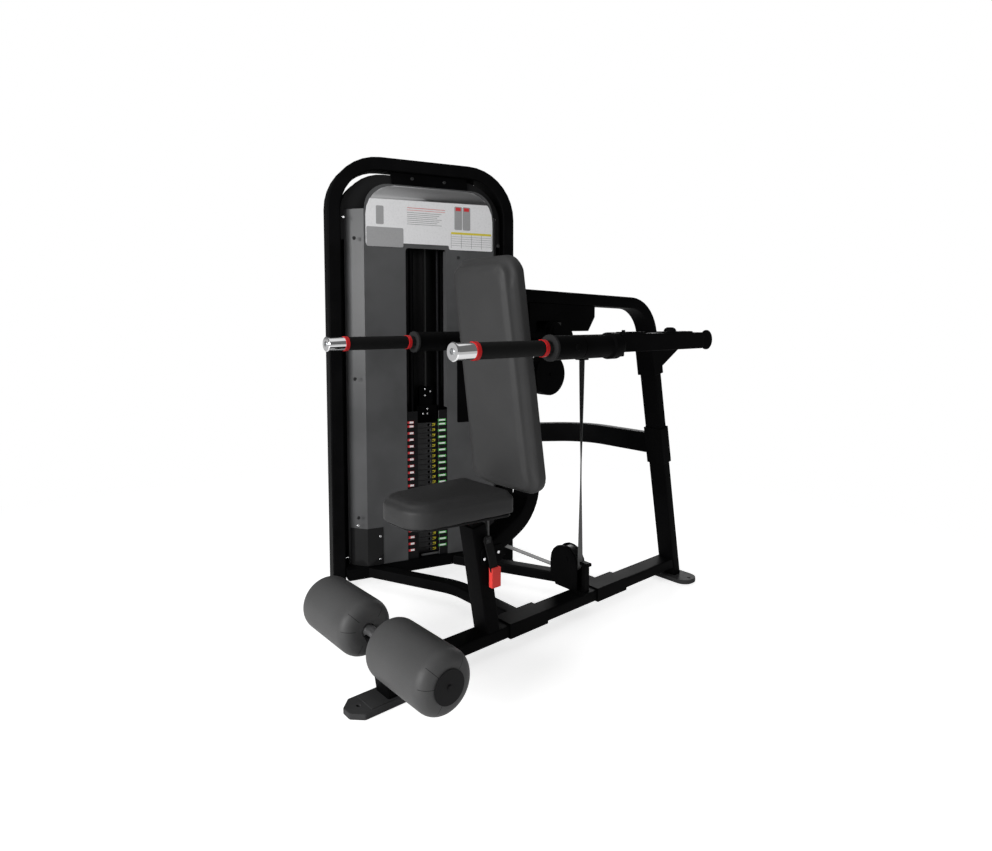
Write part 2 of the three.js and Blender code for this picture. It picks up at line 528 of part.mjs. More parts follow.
// Yoke that joins both arms: shaft, lugs, cross bar and the belt lever
function makeYoke() {
  const centre = [0, PIVOT.y, PIVOT.z];
  const reach = ARM.x - ARM.half - GAP;
  const bar = softBlock(-reach, reach, ARM_CROSS.front, ARM_CROSS.rear, ARM_CROSS.low, ARM_CROSS.high);
  const shaft = rod(PIVOT.shaft, -PIVOT.halfShaft, PIVOT.halfShaft, 'x', centre);
  const lugs = [-1, 1].flatMap((side) => {
    const edges = [side * LUG.inner, side * (LUG.inner + LUG.thick)].sort((a, b) => a - b);
    const eye = rod(LUG.radius, edges[0], edges[1], 'x', centre);
    const web = block(edges[0], edges[1], PIVOT.y - LUG.radius / 2, ARM_CROSS.rear - EDGE,
      ARM_CROSS.high - EDGE, PIVOT.z);
    return [eye, web];
  });
  const lever = softBlock(-LEVER.half, LEVER.half, ARM_CROSS.rear - EDGE, LEVER.rear, LEVER.low, LEVER.high);
  const clamp = softBlock(-ANCHOR.halfX, ANCHOR.halfX, ANCHOR.y - ANCHOR.half, ANCHOR.y + ANCHOR.half,
    ANCHOR.low, LEVER.low + EDGE, GAP * FINE_EDGE);
  return join(bar, shaft, ...lugs, lever, clamp);
}
add('arm_yoke', 'frame', makeYoke());

function makeCounterweight() {
  const centre = [0, DISC.y, DISC.z];
  const edge = FINE_EDGE;
  const disc = softRod(DISC.radius, -DISC.half, DISC.half, edge, 'x', centre);
  const neck = block(-DISC.half / 2, DISC.half / 2, ARM_CROSS.front, ARM_CROSS.rear,
    DISC.z, ARM_CROSS.low - GAP);
  const bolts = [[DISC.half - edge, DISC.half + DISC.boltThick], [-DISC.half - DISC.boltThick, edge - DISC.half]]
    .map(([from, to]) => rod(DISC.bolt, from, to, 'x', centre, COARSE_STEPS));
  return join(disc, neck, ...bolts);
}
add('counterweight', 'frame', makeCounterweight());

// Arms with their sleeves, top plates, bumpers and end discs
function makeArm(side) {
  const x = side * ARM.x;
  const at = [x, 0, HANDLE.z];
  const corners = [v2(ARM.front - EDGE, ARM.low), v2(ARM.rear, ARM.low), v2(ARM.rear, ARM.high),
    v2(ARM.front - EDGE, ARM.high)];
  const bar = sideSlab(rounded(corners, [0, EDGE + EDGE, EDGE + EDGE, 0]), x - ARM.half, x + ARM.half, FINE_EDGE);
  const seamIn = SLEEVE.radius - SLEEVE_BOLT.seamDeep;
  const sleeve = turned([[0, SLEEVE.front], [SLEEVE.disc, SLEEVE.front],
    [SLEEVE.disc, SLEEVE.front + SLEEVE.discThick], [SLEEVE.radius, SLEEVE.front + SLEEVE.discThick],
    [SLEEVE.radius, SLEEVE_BOLT.seam], [seamIn, SLEEVE_BOLT.seam],
    [seamIn, SLEEVE_BOLT.seam + SLEEVE_BOLT.seamWide],
    [SLEEVE.radius, SLEEVE_BOLT.seam + SLEEVE_BOLT.seamWide], [SLEEVE.radius, SLEEVE.rear],
    [SLEEVE.flange, SLEEVE.rear + EDGE], [SLEEVE.flange, ARM.front - EDGE - EDGE],
    [SLEEVE.radius, ARM.front], [0, ARM.front]], 'y', at);
  const bolt = softRod(SLEEVE_BOLT.radius, 0, SLEEVE.radius + SLEEVE_BOLT.thick, FINE_EDGE, 'x',
    [x, SLEEVE_BOLT.y, HANDLE.z], COARSE_STEPS);
  if (side < 0) bolt.applyMatrix4(mirrorAbout(x));
  const cap = softBlock(x - ARM.half + EDGE, x + ARM.half - EDGE, ARM_PLATE.front, ARM_PLATE.rear,
    ARM.high - EDGE, ARM.high + ARM_PLATE.thick);
  const capBolt = rod(ARM_PLATE.bolt, ARM.high, ARM.high + ARM_PLATE.thick + ARM_PLATE.boltThick, 'z',
    [x, ARM_PLATE.front + EDGE + EDGE, 0], COARSE_STEPS);
  const strip = softBlock(x - BUMPER_PLATE.half, x + BUMPER_PLATE.half, BUMPER_PLATE.front,
    BUMPER_PLATE.rear, ARM.high - EDGE, ARM.high + BUMPER_PLATE.thick);
  const top = ARM.high + BUMPER_PLATE.thick;
  const dome = turned([[0, top - FINE_EDGE], [BUMPER.radius, top - FINE_EDGE],
    [BUMPER.radius, top + BUMPER.tall / 3], [BUMPER.radius * 0.8, top + BUMPER.tall * 0.75],
    [BUMPER.radius / 2, top + BUMPER.tall], [0, top + BUMPER.tall]], 'z', [x, BUMPER.y, 0], COARSE_STEPS);
  const middle = (ARM.low + ARM.high) / 2;
  const pin = rod(PUCK.pin, ARM.rear - PUCK.pinInset, PUCK.y, 'y', [x, 0, middle], COARSE_STEPS);
  const disc = softRod(PUCK.radius, -PUCK.thick / 2, PUCK.thick / 2, FINE_EDGE, 'x', [x, PUCK.y, middle]);
  return join(bar, sleeve, bolt, cap, capBolt, strip, dome, pin, disc);
}
function mirrorAbout(x) {
  return new THREE.Matrix4().set(-1, 0, 0, 2 * x, 0, -1, 0, 2 * SLEEVE_BOLT.y, 0, 0, 1, 0, 0, 0, 0, 1);
}
function makeHandle(side) {
  const capBack = HANDLE.cap + HANDLE.capThick;
  const shellEnd = GRIP.front - GRIP.ringThick - GAP;
  return turned([[0, HANDLE.cap], [HANDLE.capRadius - FINE_EDGE, HANDLE.cap],
    [HANDLE.capRadius, HANDLE.cap + FINE_EDGE], [HANDLE.capRadius, capBack], [HANDLE.shell, capBack],
    [HANDLE.shell, shellEnd], [HANDLE.tube, shellEnd],
    [HANDLE.tube, HANDLE.stemEnd + GAP], [0, HANDLE.stemEnd + GAP]], 'y', [side * ARM.x, 0, HANDLE.z]);
}
function makeGrip(side) {
  const bore = HANDLE.tube + GAP;
  const from = GRIP.front - GRIP.ringThick;
  const to = GRIP.rear + GRIP.ringThick;
  return turned([[bore, from], [GRIP.ring, from], [GRIP.ring, GRIP.front], [GRIP.radius, GRIP.front],
    [GRIP.radius, GRIP.rear], [GRIP.ring, GRIP.rear], [GRIP.ring, to], [bore, to], [bore, from]],
  'y', [side * ARM.x, 0, HANDLE.z]);
}
for (const [side, label] of [[1, 'left'], [-1, 'right']]) {
  add(`press_arm_${label}`, 'frame', makeArm(side));
  add(`handle_tube_${label}`, 'chrome', makeHandle(side));
  add(`handle_grip_${label}`, 'rubber', makeGrip(side));
}

// Foam rollers on their axle
add('roller_axle', 'steel', rod(AXLE.radius, -AXLE.half, AXLE.half, 'x', [0, 0, AXLE.height]));
function makeRoller(side) {
  const steps = 5;
  const profile = [[ROLLER.bore, ROLLER.inner]];
  for (const [base, sign] of [[ROLLER.inner, -1], [ROLLER.outer, 1]]) {
    for (let k = 0; k <= steps; k += 1) {
      const turn = (sign < 0 ? k : steps - k) / steps * Math.PI / 2;
      const r = ROLLER.radius - ROLLER.round + ROLLER.round * Math.sin(turn);
      profile.push([r, base - sign * ROLLER.round + sign * ROLLER.round * Math.cos(turn)]);
    }
  }
  profile.push([ROLLER.bore, ROLLER.outer], [ROLLER.bore, ROLLER.inner]);
  const geometry = turned(profile, 'x', [0, 0, AXLE.height]);
  return side > 0 ? geometry : geometry.rotateZ(Math.PI);
}
function makeRollerCap(side) {
  const from = ROLLER.outer + GAP;
  const top = from + ROLLER_CAP.thick;
  const geometry = turned([[0, from], [ROLLER_CAP.radius, from], [ROLLER_CAP.radius, top],
    [ROLLER_CAP.bolt, top], [ROLLER_CAP.bolt, top + ROLLER_CAP.boltThick], [0, top + ROLLER_CAP.boltThick]],
  'x', [0, 0, AXLE.height]);
  return side > 0 ? geometry : geometry.rotateZ(Math.PI);
}
for (const [side, label] of [[1, 'left'], [-1, 'right']]) {
  add(`foam_roller_${label}`, 'pad', makeRoller(side));
  add(`roller_cap_${label}`, 'rubber', makeRollerCap(side));
}

// Cushion: an outline carried up through drawn-in sides, a rolled rim and a crown
function cushion(outline, rim, crown) {
  const centre = outline.reduce((sum, point) => sum.add(point), v2(0, 0)).divideScalar(outline.length);
  const ring = (share, height) => outline.map((point) => {
    const at = point.clone().sub(centre).multiplyScalar(share).add(centre);
    return new THREE.Vector3(at.x, at.y, height);
  });
  const rings = PAD_SHARES.map(([share, up]) => ring(share, up * rim));
  for (const [share, up] of CROWN_SHARES) rings.push(ring(share, rim + up * crown));
  return loft(rings);
}

// Seat, drawn level and then tipped by a shear
const seatMiddle = (SEAT.front + SEAT.rear) / 2;
const seatTip = new THREE.Matrix4().set(1, 0, 0, 0, 0, 1, 0, 0, 0, SEAT_PAD.slope, 1,
  -SEAT_PAD.slope * seatMiddle, 0, 0, 0, 1);
const seatOutline = (inset) => rounded([v2(-SEAT.frontHalf + inset, SEAT.front + inset),
  v2(SEAT.frontHalf - inset, SEAT.front + inset), v2(SEAT.half - inset, SEAT.rear - inset),
  v2(inset - SEAT.half, SEAT.rear - inset)],
[SEAT.frontRound, SEAT.frontRound, SEAT.rearRound, SEAT.rearRound]);
const seatPad = cushion(seatOutline(0), SEAT_PAD.thick, SEAT_PAD.crown);
add('seat_pad', 'pad', moved(seatPad, 0, 0, SEAT_PAD.low).applyMatrix4(seatTip));
const boardLow = SEAT_PAD.low - GAP - SEAT_BOARD.thick;
add('seat_board', 'rubber', slab(seatOutline(SEAT_BOARD.inset), boardLow, SEAT_PAD.low - GAP,
  FINE_EDGE, 1).applyMatrix4(seatTip));
function makeSlider() {
  const plateHigh = boardLow - GAP;
  const plate = softBlock(-SEAT_BRACKET.half, SEAT_BRACKET.half, SEAT_BRACKET.front, SEAT_BRACKET.rear,
    plateHigh - SEAT_BRACKET.thick, plateHigh).applyMatrix4(seatTip);
  const leg = block(SEAT_BRACKET.legFrom, SEAT_BRACKET.legTo, SEAT_BRACKET.rear - SEAT_BRACKET.legThick,
    SEAT_BRACKET.rear, SEAT_BRACKET.legLow, plateHigh - SEAT_BRACKET.thick / 2).applyMatrix4(seatTip);
  const inner = sideSlab(band(postLine(SEAT_SLIDER.low, plateHigh), SEAT_SLIDER.depth / 2),
    -SEAT_SLIDER.half, SEAT_SLIDER.half, FINE_EDGE, 1);
  const below = block(-FAR, FAR, -FAR, FAR, FLOOR, plateHigh - SEAT_BRACKET.thick / 2);
  return join(plate, leg, common(inner, below));
}
add('seat_slider', 'frame', makeSlider());

// Seat latch lever and its grip
const latchLine = [v2(LATCH.y, LATCH.z), v2(LATCH.kneeY, LATCH.kneeZ), v2(LATCH_END.y, LATCH_END.z)];
const latchBar = (extra) => sideSlab(band(latchLine, LATCH.half + extra), LATCH.x - extra,
  LATCH.x + LATCH.thick + extra);
function makeLatch() {
  const centre = [0, LATCH.y, LATCH.z];
  const eye = rod(LATCH.eye, LATCH.x, LATCH.x + LATCH.thick, 'x', centre, COARSE_STEPS);
  const pin = rod(LATCH_PIN.radius, STOCK.half - SEAT_POST.wall + GAP, LATCH.x + LATCH.thick + BOLT.thick, 'x',
    centre, COARSE_STEPS);
  return join(latchBar(0), eye, pin);
}
add('seat_latch', 'zinc', makeLatch());
function makeLatchGrip() {
  const middle = LATCH.x + LATCH.thick / 2;
  const grip = softBlock(middle - LATCH_END.gripThick / 2, middle + LATCH_END.gripThick / 2,
    LATCH_END.y - LATCH_END.gripHalf, LATCH_END.y + LATCH_END.gripHalf,
    LATCH_END.gripLow, LATCH_END.gripHigh, FINE_EDGE);
  return cut(grip, latchBar(GAP));
}
add('latch_grip', 'red', makeLatchGrip());

// Back pad and board, drawn flat and stood up leaning
const backLean = BACK.lean * DEG;
const backUp = new THREE.Vector3(0, -Math.sin(backLean), Math.cos(backLean));
const backOut = new THREE.Vector3(0, -Math.cos(backLean), -Math.sin(backLean));
const backStand = new THREE.Matrix4().makeBasis(new THREE.Vector3(1, 0, 0), backUp, backOut);
backStand.setPosition(new THREE.Vector3(0, BACK.y, BACK.z).addScaledVector(backOut, -BACK.thick));
const backOutline = (inset) => {
  const half = BACK.half - inset;
  const tall = BACK.tall / 2 - inset;
  const low = BACK.halfLow - inset;
  return rounded([v2(-low, -tall), v2(low, -tall), v2(half, tall), v2(-half, tall)], BACK.round - inset);
};
add('back_pad', 'pad', cushion(backOutline(0), BACK.rim, BACK_PAD.crown).applyMatrix4(backStand));
function makeBackBoard() {
  const rear = -GAP - BACK_BOARD.thick;
  const board = slab(backOutline(BACK_BOARD.inset), rear, -GAP, FINE_EDGE, 1);
  const brackets = [-1, 1].map((side) => block(-BACK_BRACKET.half, BACK_BRACKET.half,
    side * BACK_BRACKET.offset - BACK_BRACKET.tall / 2, side * BACK_BRACKET.offset + BACK_BRACKET.tall / 2,
    rear - BACK_BRACKET.depth, rear + FINE_EDGE));
  return join(board, ...brackets).applyMatrix4(backStand);
}
add('back_board', 'rubber', makeBackBoard());

// Pulleys
function pulleyProfile(radius, half, flange, bore) {
  return [[bore, -half], [radius + flange, -half], [radius, flange - half], [radius, half - flange],
    [radius + flange, half], [bore, half], [bore, -half]];
}
const beltRadius = (radius) => radius + BELT.thick / 2 + GAP;
const lowerCentre = new THREE.Vector3(LOWER_PULLEY.x, LOWER_PULLEY.y, LOWER_PULLEY.z);
add('lower_pulley', 'rubber', turned(pulleyProfile(LOWER_PULLEY.radius, LOWER_PULLEY.half, LOWER_PULLEY.flange,
  LOWER_PULLEY.axle + GAP), 'y', lowerCentre.toArray()));

function makePulleyYoke() {
  const base = YOKE.low + YOKE.base / 2;
  const outline = [v2(YOKE.x + YOKE.round, base)];
  for (let k = 0; k <= BEND_STEPS; k += 1) {
    const turn = Math.PI * k / BEND_STEPS;
    outline.push(v2(YOKE.x + YOKE.round * Math.cos(turn), YOKE.z + YOKE.round * Math.sin(turn)));
  }
  outline.push(v2(YOKE.x - YOKE.round, base + YOKE.taper + EDGE), v2(YOKE.x - YOKE.round + YOKE.taper, base));
  const plate = (from, to) => slab(outline, from, to).rotateX(Math.PI / 2);
  const near = YOKE.gap;
  const far = YOKE.gap + YOKE.thick;
  const plates = [plate(near, far), plate(-far, -near)].map((g) => moved(g, 0, LOWER_PULLEY.y, 0));
  const foot = block(YOKE.x - YOKE.round + YOKE.taper, YOKE.right, LOWER_PULLEY.y - far, LOWER_PULLEY.y + far,
    YOKE.low, YOKE.low + YOKE.base);
  const axle = rod(LOWER_PULLEY.axle, -far - FINE_EDGE, far + FINE_EDGE, 'y', lowerCentre.toArray(), COARSE_STEPS);
  const leg = block(KEEPER.legFrom, KEEPER.legTo, LOWER_PULLEY.y - KEEPER.half, LOWER_PULLEY.y + KEEPER.half,
    base, KEEPER.low + FINE_EDGE);
  const bar = softBlock(KEEPER.from, KEEPER.to, LOWER_PULLEY.y - KEEPER.half, LOWER_PULLEY.y + KEEPER.half,
    KEEPER.low, KEEPER.high);
  return join(plates[0], plates[1], foot, axle, leg, bar);
}
add('pulley_yoke', 'frame', makePulleyYoke());

// Tower frame, feet and base
const legMiddle = TOWER.half - TOWER_TUBE.wide / 2;
const archHigh = TOWER.height - TOWER_TUBE.wide / 2;
const towerLine = route([v2(-legMiddle, TOWER_TUBE.foot), v2(-legMiddle, archHigh), v2(legMiddle, archHigh),
  v2(legMiddle, TOWER_TUBE.foot)], TOWER_TUBE.corner);
add('tower_frame', 'frame', inTower(sideSlab(band(towerLine, TOWER_TUBE.wide / 2),
  TOWER_TUBE.rear, TOWER_TUBE.front, EDGE, 3)));
for (const [side, label] of [[-1, 'left'], [1, 'right']]) {
  const edges = [side * legInner, side * TOWER.half].sort((a, b) => a - b);
  add(`tower_foot_${label}`, 'rubber', inTower(softBlock(TOWER_TUBE.rear, TOWER_TUBE.front, edges[0], edges[1],
    FLOOR, TOWER_TUBE.foot - GAP)));
}
const trayHigh = BASE.high + TRAY.thick;
function makeTowerBase() {
  const front = softBlock(BASE.frontBack, BASE.front, -baseReach, baseReach, BASE.low, BASE.high, EDGE);
  const rear = softBlock(BASE.rear, -BASE.frontBack, -baseReach, baseReach, BASE.low, BASE.high, EDGE);
  const tray = block(BASE.rear, BASE.front - FINE_EDGE, -baseReach, baseReach, BASE.high - EDGE, trayHigh);
  return join(front, rear, tray);
}
const onTray = trayHigh + GAP;
add('tower_base', 'frame', inTower(makeTowerBase()));

// Base pulley's place: where the belt, running along -X, meets the tower
const turnCos = Math.cos(TOWER.turn * DEG);
const turnSin = Math.sin(TOWER.turn * DEG);
const placeOf = (n, u, z) => new THREE.Vector3(TOWER.x + n * turnCos - u * turnSin,
  TOWER.y + n * turnSin + u * turnCos, z);
const baseU = (LOWER_PULLEY.y - TOWER.y - BASE_PULLEY.n * turnSin) / turnCos;
const beltLow = LOWER_PULLEY.z - beltRadius(LOWER_PULLEY.radius);
const basePulleyZ = beltLow + beltRadius(BASE_PULLEY.radius);
const baseCentre = placeOf(BASE_PULLEY.n, baseU, basePulleyZ);
add('base_pulley', 'rubber', turned(pulleyProfile(BASE_PULLEY.radius, BASE_PULLEY.half, BASE_PULLEY.flange,
  BASE_PULLEY.axle + GAP), 'y', baseCentre.toArray()));
function makeBaseYoke() {
  const far = BASE_YOKE.gap + BASE_YOKE.thick;
  const cheeks = [[BASE_YOKE.gap, far], [-far, -BASE_YOKE.gap]].map(([from, to]) => block(
    baseCentre.x - BASE_YOKE.half, baseCentre.x + BASE_YOKE.half, baseCentre.y + from, baseCentre.y + to,
    onTray, basePulleyZ + BASE_YOKE.half));
  const foot = block(baseCentre.x - BASE_YOKE.half, baseCentre.x + BASE_YOKE.half, baseCentre.y - far,
    baseCentre.y + far, onTray, onTray + BASE_YOKE.thick);
  const axle = rod(BASE_PULLEY.axle, -far - FINE_EDGE, far + FINE_EDGE, 'y', baseCentre.toArray(), COARSE_STEPS);
  return join(cheeks[0], cheeks[1], foot, axle);
}
add('base_pulley_yoke', 'frame', makeBaseYoke());

// Head bracket with both top pulleys
const archUnder = TOWER.height - TOWER_TUBE.wide - GAP;
const innerU = STACK.u + beltRadius(TOP_PULLEY.radius);
const topSpots = [innerU, TOP_PULLEY.outerU];
function makeHeadBracket() {
  const near = HEAD_YOKE.n + HEAD_YOKE.gap;
  const far = HEAD_YOKE.n - HEAD_YOKE.gap;
  const plates = [[near, near + HEAD_YOKE.thick], [far - HEAD_YOKE.thick, far]].map(([from, to]) => block(
    from, to, HEAD_YOKE.left, HEAD_YOKE.right, HEAD_YOKE.low, archUnder));
  const flange = block(far - HEAD_YOKE.thick, HEAD_PLATE.front + HEAD_PLATE.thick, HEAD_PLATE.u - HEAD_PLATE.half
    + HEAD_PLATE.slant, HEAD_PLATE.u + HEAD_PLATE.half - HEAD_PLATE.slant, archUnder - HEAD_YOKE.thick, archUnder);
  const low = HEAD_PLATE.low;
  const face = sideSlab([v2(HEAD_PLATE.u - HEAD_PLATE.half + HEAD_PLATE.slant, low),
    v2(HEAD_PLATE.u + HEAD_PLATE.half, low), v2(HEAD_PLATE.u + HEAD_PLATE.half - HEAD_PLATE.slant, archUnder),
    v2(HEAD_PLATE.u - HEAD_PLATE.half, archUnder)], HEAD_PLATE.front, HEAD_PLATE.front + HEAD_PLATE.thick);
  const holder = block(far - HEAD_YOKE.thick / 2, near + HEAD_YOKE.thick / 2, STACK.u - ROD.u - ROD.collar,
    STACK.u + ROD.u + ROD.collar, HEAD_YOKE.low, HEAD_YOKE.low + EDGE);
  const axles = topSpots.map((u) => rod(TOP_PULLEY.axle, far - HEAD_YOKE.thick / 2, near + HEAD_YOKE.thick / 2,
    'x', [0, u, TOP_PULLEY.z], COARSE_STEPS));
  const clear = sideSlab(band(towerLine, TOWER_TUBE.wide / 2 + GAP), -FAR, FAR);
  const beltSlot = block(HEAD_YOKE.n - BELT.half - FINE_EDGE, HEAD_YOKE.n + BELT.half + FINE_EDGE,
    STACK.u - EDGE, STACK.u + EDGE, HEAD_YOKE.low - EDGE, HEAD_YOKE.low + EDGE + EDGE);
  return cut(join(plates[0], plates[1], flange, face, holder, ...axles), clear, beltSlot);
}
add('head_bracket', 'frame', inTower(makeHeadBracket()));
topSpots.forEach((u, i) => {
  add(`head_pulley_${i + 1}`, 'rubber', inTower(turned(pulleyProfile(TOP_PULLEY.radius, TOP_PULLEY.half,
    TOP_PULLEY.flange, TOP_PULLEY.axle + GAP), 'x', [HEAD_YOKE.n, u, TOP_PULLEY.z])));
});

// Front shroud with its tall window, rear shell with the arched lid
function makeShroud() {
  const half = SHROUD.sheet / 2;
  const front = SHROUD.front - half + GAP;
  const plan = [v2(SHROUD.flangeN, -SHROUD.flangeU), v2(front, SHROUD.cornerLeft),
    v2(front, SHROUD.cornerRight), v2(SHROUD.flangeN, SHROUD.flangeU)];
  const sheet = slab(band(plan, half), onTray, SHROUD_TOP.high);
  const left = SHROUD.cornerLeft + SHROUD.sheet;
  const right = SHROUD.cornerRight - SHROUD.sheet;
  const high = SHROUD_TOP.high;
  const side = SHROUD_TOP.sideHigh;
  const silhouette = rounded([v2(-TOWER.half, FLOOR), v2(TOWER.half, FLOOR), v2(TOWER.half, side),
    v2(right, side), v2(right, high), v2(left, high), v2(left, side), v2(-TOWER.half, side)],
  [0, 0, 0, 0, SHROUD_TOP.round, SHROUD_TOP.round, 0, 0]);
  const window = sideSlab(rounded([v2(WINDOW.left, FLOOR), v2(WINDOW.right, FLOOR),
    v2(WINDOW.right, WINDOW.high), v2(WINDOW.left, WINDOW.high)], [0, 0, WINDOW.round, WINDOW.round], 4),
  0, STOCK.high + STOCK.half);
  const slotU = baseU - (SHROUD.front - BASE_PULLEY.n) * Math.tan(TOWER.turn * DEG);
  const slot = block(0, STOCK.high, slotU - SLOT.half, slotU + SLOT.half, beltLow - SLOT.tall / 2,
    beltLow + SLOT.tall / 2);
  const shaped = common(sheet, sideSlab(silhouette, -STOCK.high, STOCK.high));
  return cut(shaped, window, slot);
}
add('front_shroud', 'shroud', inTower(makeShroud()));

function makeShell() {
  const half = SHELL.sheet / 2;
  const plan = [v2(LID.front + SHELL.sheet, -SHELL.sideU), v2(SHELL.rear, -SHELL.sideU),
    v2(SHELL.rear, SHELL.sideU), v2(LID.front + SHELL.sheet, SHELL.sideU)];
  const sheet = slab(band(plan, half), onTray, SHELL.high);
  const lid = block(LID.front, LID.front + SHELL.sheet, -SHELL.sideU, SHELL.sideU,
    LID.low, SHELL.high);
  const tabs = [-1, 1].map((side) => {
    const edges = [side * LID.tabU, side * SHELL.sideU].sort((a, b) => a - b);
    return block(LID.front, LID.front + SHELL.sheet, edges[0], edges[1], LID.tabLow,
      LID.low + EDGE);
  });
  const reach = SHELL.sideU + half;
  const arch = rounded([v2(-reach, FLOOR), v2(reach, FLOOR), v2(reach, SHELL.high), v2(-reach, SHELL.high)],
    [0, 0, SHELL.round, SHELL.round]);
  return common(join(sheet, lid, ...tabs), sideSlab(arch, -STOCK.high * 2, STOCK.high));
}
add('rear_shell', 'frame', inTower(makeShell()));

function makePlacard() {
  const from = SHROUD.front + GAP + GAP;
  const low = PLACARD.low;
  const outline = rounded([v2(PLACARD.left, low), v2(PLACARD_CUT.left, low), v2(PLACARD_CUT.left, PLACARD_CUT.high),
    v2(PLACARD_CUT.right, PLACARD_CUT.high), v2(PLACARD_CUT.right, low), v2(PLACARD.right, low),
    v2(PLACARD.right, PLACARD.high), v2(PLACARD.left, PLACARD.high)],
  [PLACARD.foot, EDGE, EDGE, EDGE, EDGE, EDGE, PLACARD.round, PLACARD.round], 6);
  return sideSlab(outline, from, from + PLACARD.thick);
}
add('placard', 'white', inTower(makePlacard()));

for (const [label, from, to] of [['left', CARRIER.leftA, CARRIER.leftB], ['right', CARRIER.rightA, CARRIER.rightB]]) {
  add(`label_carrier_${label}`, 'frame', inTower(block(CARRIER.n, CARRIER.n + CARRIER.thick, from, to,
    onTray, CARRIER_SPAN.high)));
}
add('window_sill', 'white', inTower(softBlock(SILL.rear, SILL.front, STACK.u - SILL.halfU,
  STACK.u + SILL.halfU, onTray, SILL.high)));

// Lower corner guards wrap the shroud's bends
function cornerGuard(side) {
  const corner = side < 0 ? SHROUD.cornerLeft : SHROUD.cornerRight;
  const front = SHROUD.front - SHROUD.sheet / 2 + GAP;
  const flange = v2(SHROUD.flangeN, side * SHROUD.flangeU);
  const bend = v2(front, corner);
  const start = flange.lerp(bend, CORNER.share);
  const reach = side < 0 ? CORNER.reachLeft : CORNER.reachRight;
  const line = [start, bend, v2(front, corner - side * reach)];
  if (side > 0) line.reverse();
  const inner = band(line, SHROUD.sheet / 2 + GAP).slice(line.length).reverse();
  const outer = band(line, SHROUD.sheet / 2 + GAP + CORNER.thick).slice(line.length);
  return slab([...inner, ...outer], CORNER.low, CORNER.high);
}
add('corner_guard_left', 'zinc', inTower(cornerGuard(-1)));
add('corner_guard_right', 'zinc', inTower(cornerGuard(1)));

// Guide rods and weight stack
for (const [side, label] of [[-1, 'left'], [1, 'right']]) {
  add(`guide_rod_${label}`, 'steel', inTower(rod(ROD.radius, onTray, ROD.high, 'z',
    [STACK.n, STACK.u + side * ROD.u, 0], COARSE_STEPS)));
}
const rodHole = (side, low, high) => rod(ROD.radius + GAP, low, high, 'z', [STACK.n, STACK.u + side * ROD.u, 0],
  COARSE_STEPS);
const stackFront = STACK.n + STACK.halfN;
function plates(from, count) {
  const low = STACK.low + from * STACK.pitch;
  const high = low + count * STACK.pitch;
  const inset = STACK_CUT.deep;
  let solid = toSolid(block(STACK.n - STACK.halfN + inset, stackFront - inset, STACK.u - STACK.halfU + inset,
    STACK.u + STACK.halfU - inset, low + STACK_CUT.high / 2, high - STACK_CUT.high));
  for (let k = 0; k < count; k += 1) {
    const base = low + k * STACK.pitch;
    const top = base + STACK.pitch - STACK_CUT.high;
    solid = solid.add(toSolid(block(STACK.n - STACK.halfN, stackFront, STACK.u - STACK.halfU,
      STACK.u + STACK.halfU, base, top)));
  }
  for (let k = 0; k < count; k += 1) {
    const z = low + (k + 0.5) * STACK.pitch - STACK_CUT.high / 2;
    solid = solid.subtract(toSolid(rod(STACK_CUT.hole, stackFront - STACK_CUT.holeDeep, stackFront + EDGE, 'x',
      [0, STACK.u, z], 8)));
  }
  for (const side of [-1, 1]) solid = solid.subtract(toSolid(rodHole(side, FLOOR, TOWER.height)));
  return { solid, low, high: high - STACK_CUT.high };
}
const heldPlates = STACK.plates - STACK.lifted;
const lowerStack = plates(0, heldPlates);
const feet = [-1, 1].map((side) => block(STACK.n - STACK.foot, STACK.n + STACK.foot,
  STACK.u + side * (STACK.halfU - STACK.foot) - STACK.foot / 2,
  STACK.u + side * (STACK.halfU - STACK.foot) + STACK.foot / 2, onTray, STACK.low + EDGE));
add('stack_lower', 'plate', inTower(join(toGeometry(lowerStack.solid), ...feet)));
const upperStack = plates(heldPlates, STACK.lifted);
add('stack_lifted', 'plate', inTower(toGeometry(upperStack.solid)));
const carriageLow = upperStack.high + GAP;
const carriageHigh = carriageLow + CARRIAGE.tall + CARRIAGE.clampTall;
function makeCarriage() {
  const body = softBlock(STACK.n - CARRIAGE.halfN, STACK.n + CARRIAGE.halfN, STACK.u - CARRIAGE.halfU,
    STACK.u + CARRIAGE.halfU, carriageLow, carriageLow + CARRIAGE.tall);
  const clamp = softBlock(STACK.n - CARRIAGE.clampHalfN, STACK.n + CARRIAGE.clampHalfN,
    STACK.u - CARRIAGE.clampHalf, STACK.u + CARRIAGE.clampHalf, carriageLow + CARRIAGE.tall - EDGE, carriageHigh);
  return join(body, clamp);
}
add('stack_carriage', 'frame', inTower(makeCarriage()));
const pinZ = upperStack.low + 0.5 * STACK.pitch - STACK_CUT.high / 2;
add('selector_pin', 'steel', inTower(turned([[0, stackFront - PIN.inset], [PIN.radius, stackFront - PIN.inset],
  [PIN.radius, stackFront + PIN.knobFrom], [PIN.knob, stackFront + PIN.knobFrom],
  [PIN.knob, stackFront + PIN.knobLong], [0, stackFront + PIN.knobLong]], 'x', [0, STACK.u, pinZ], COARSE_STEPS)));

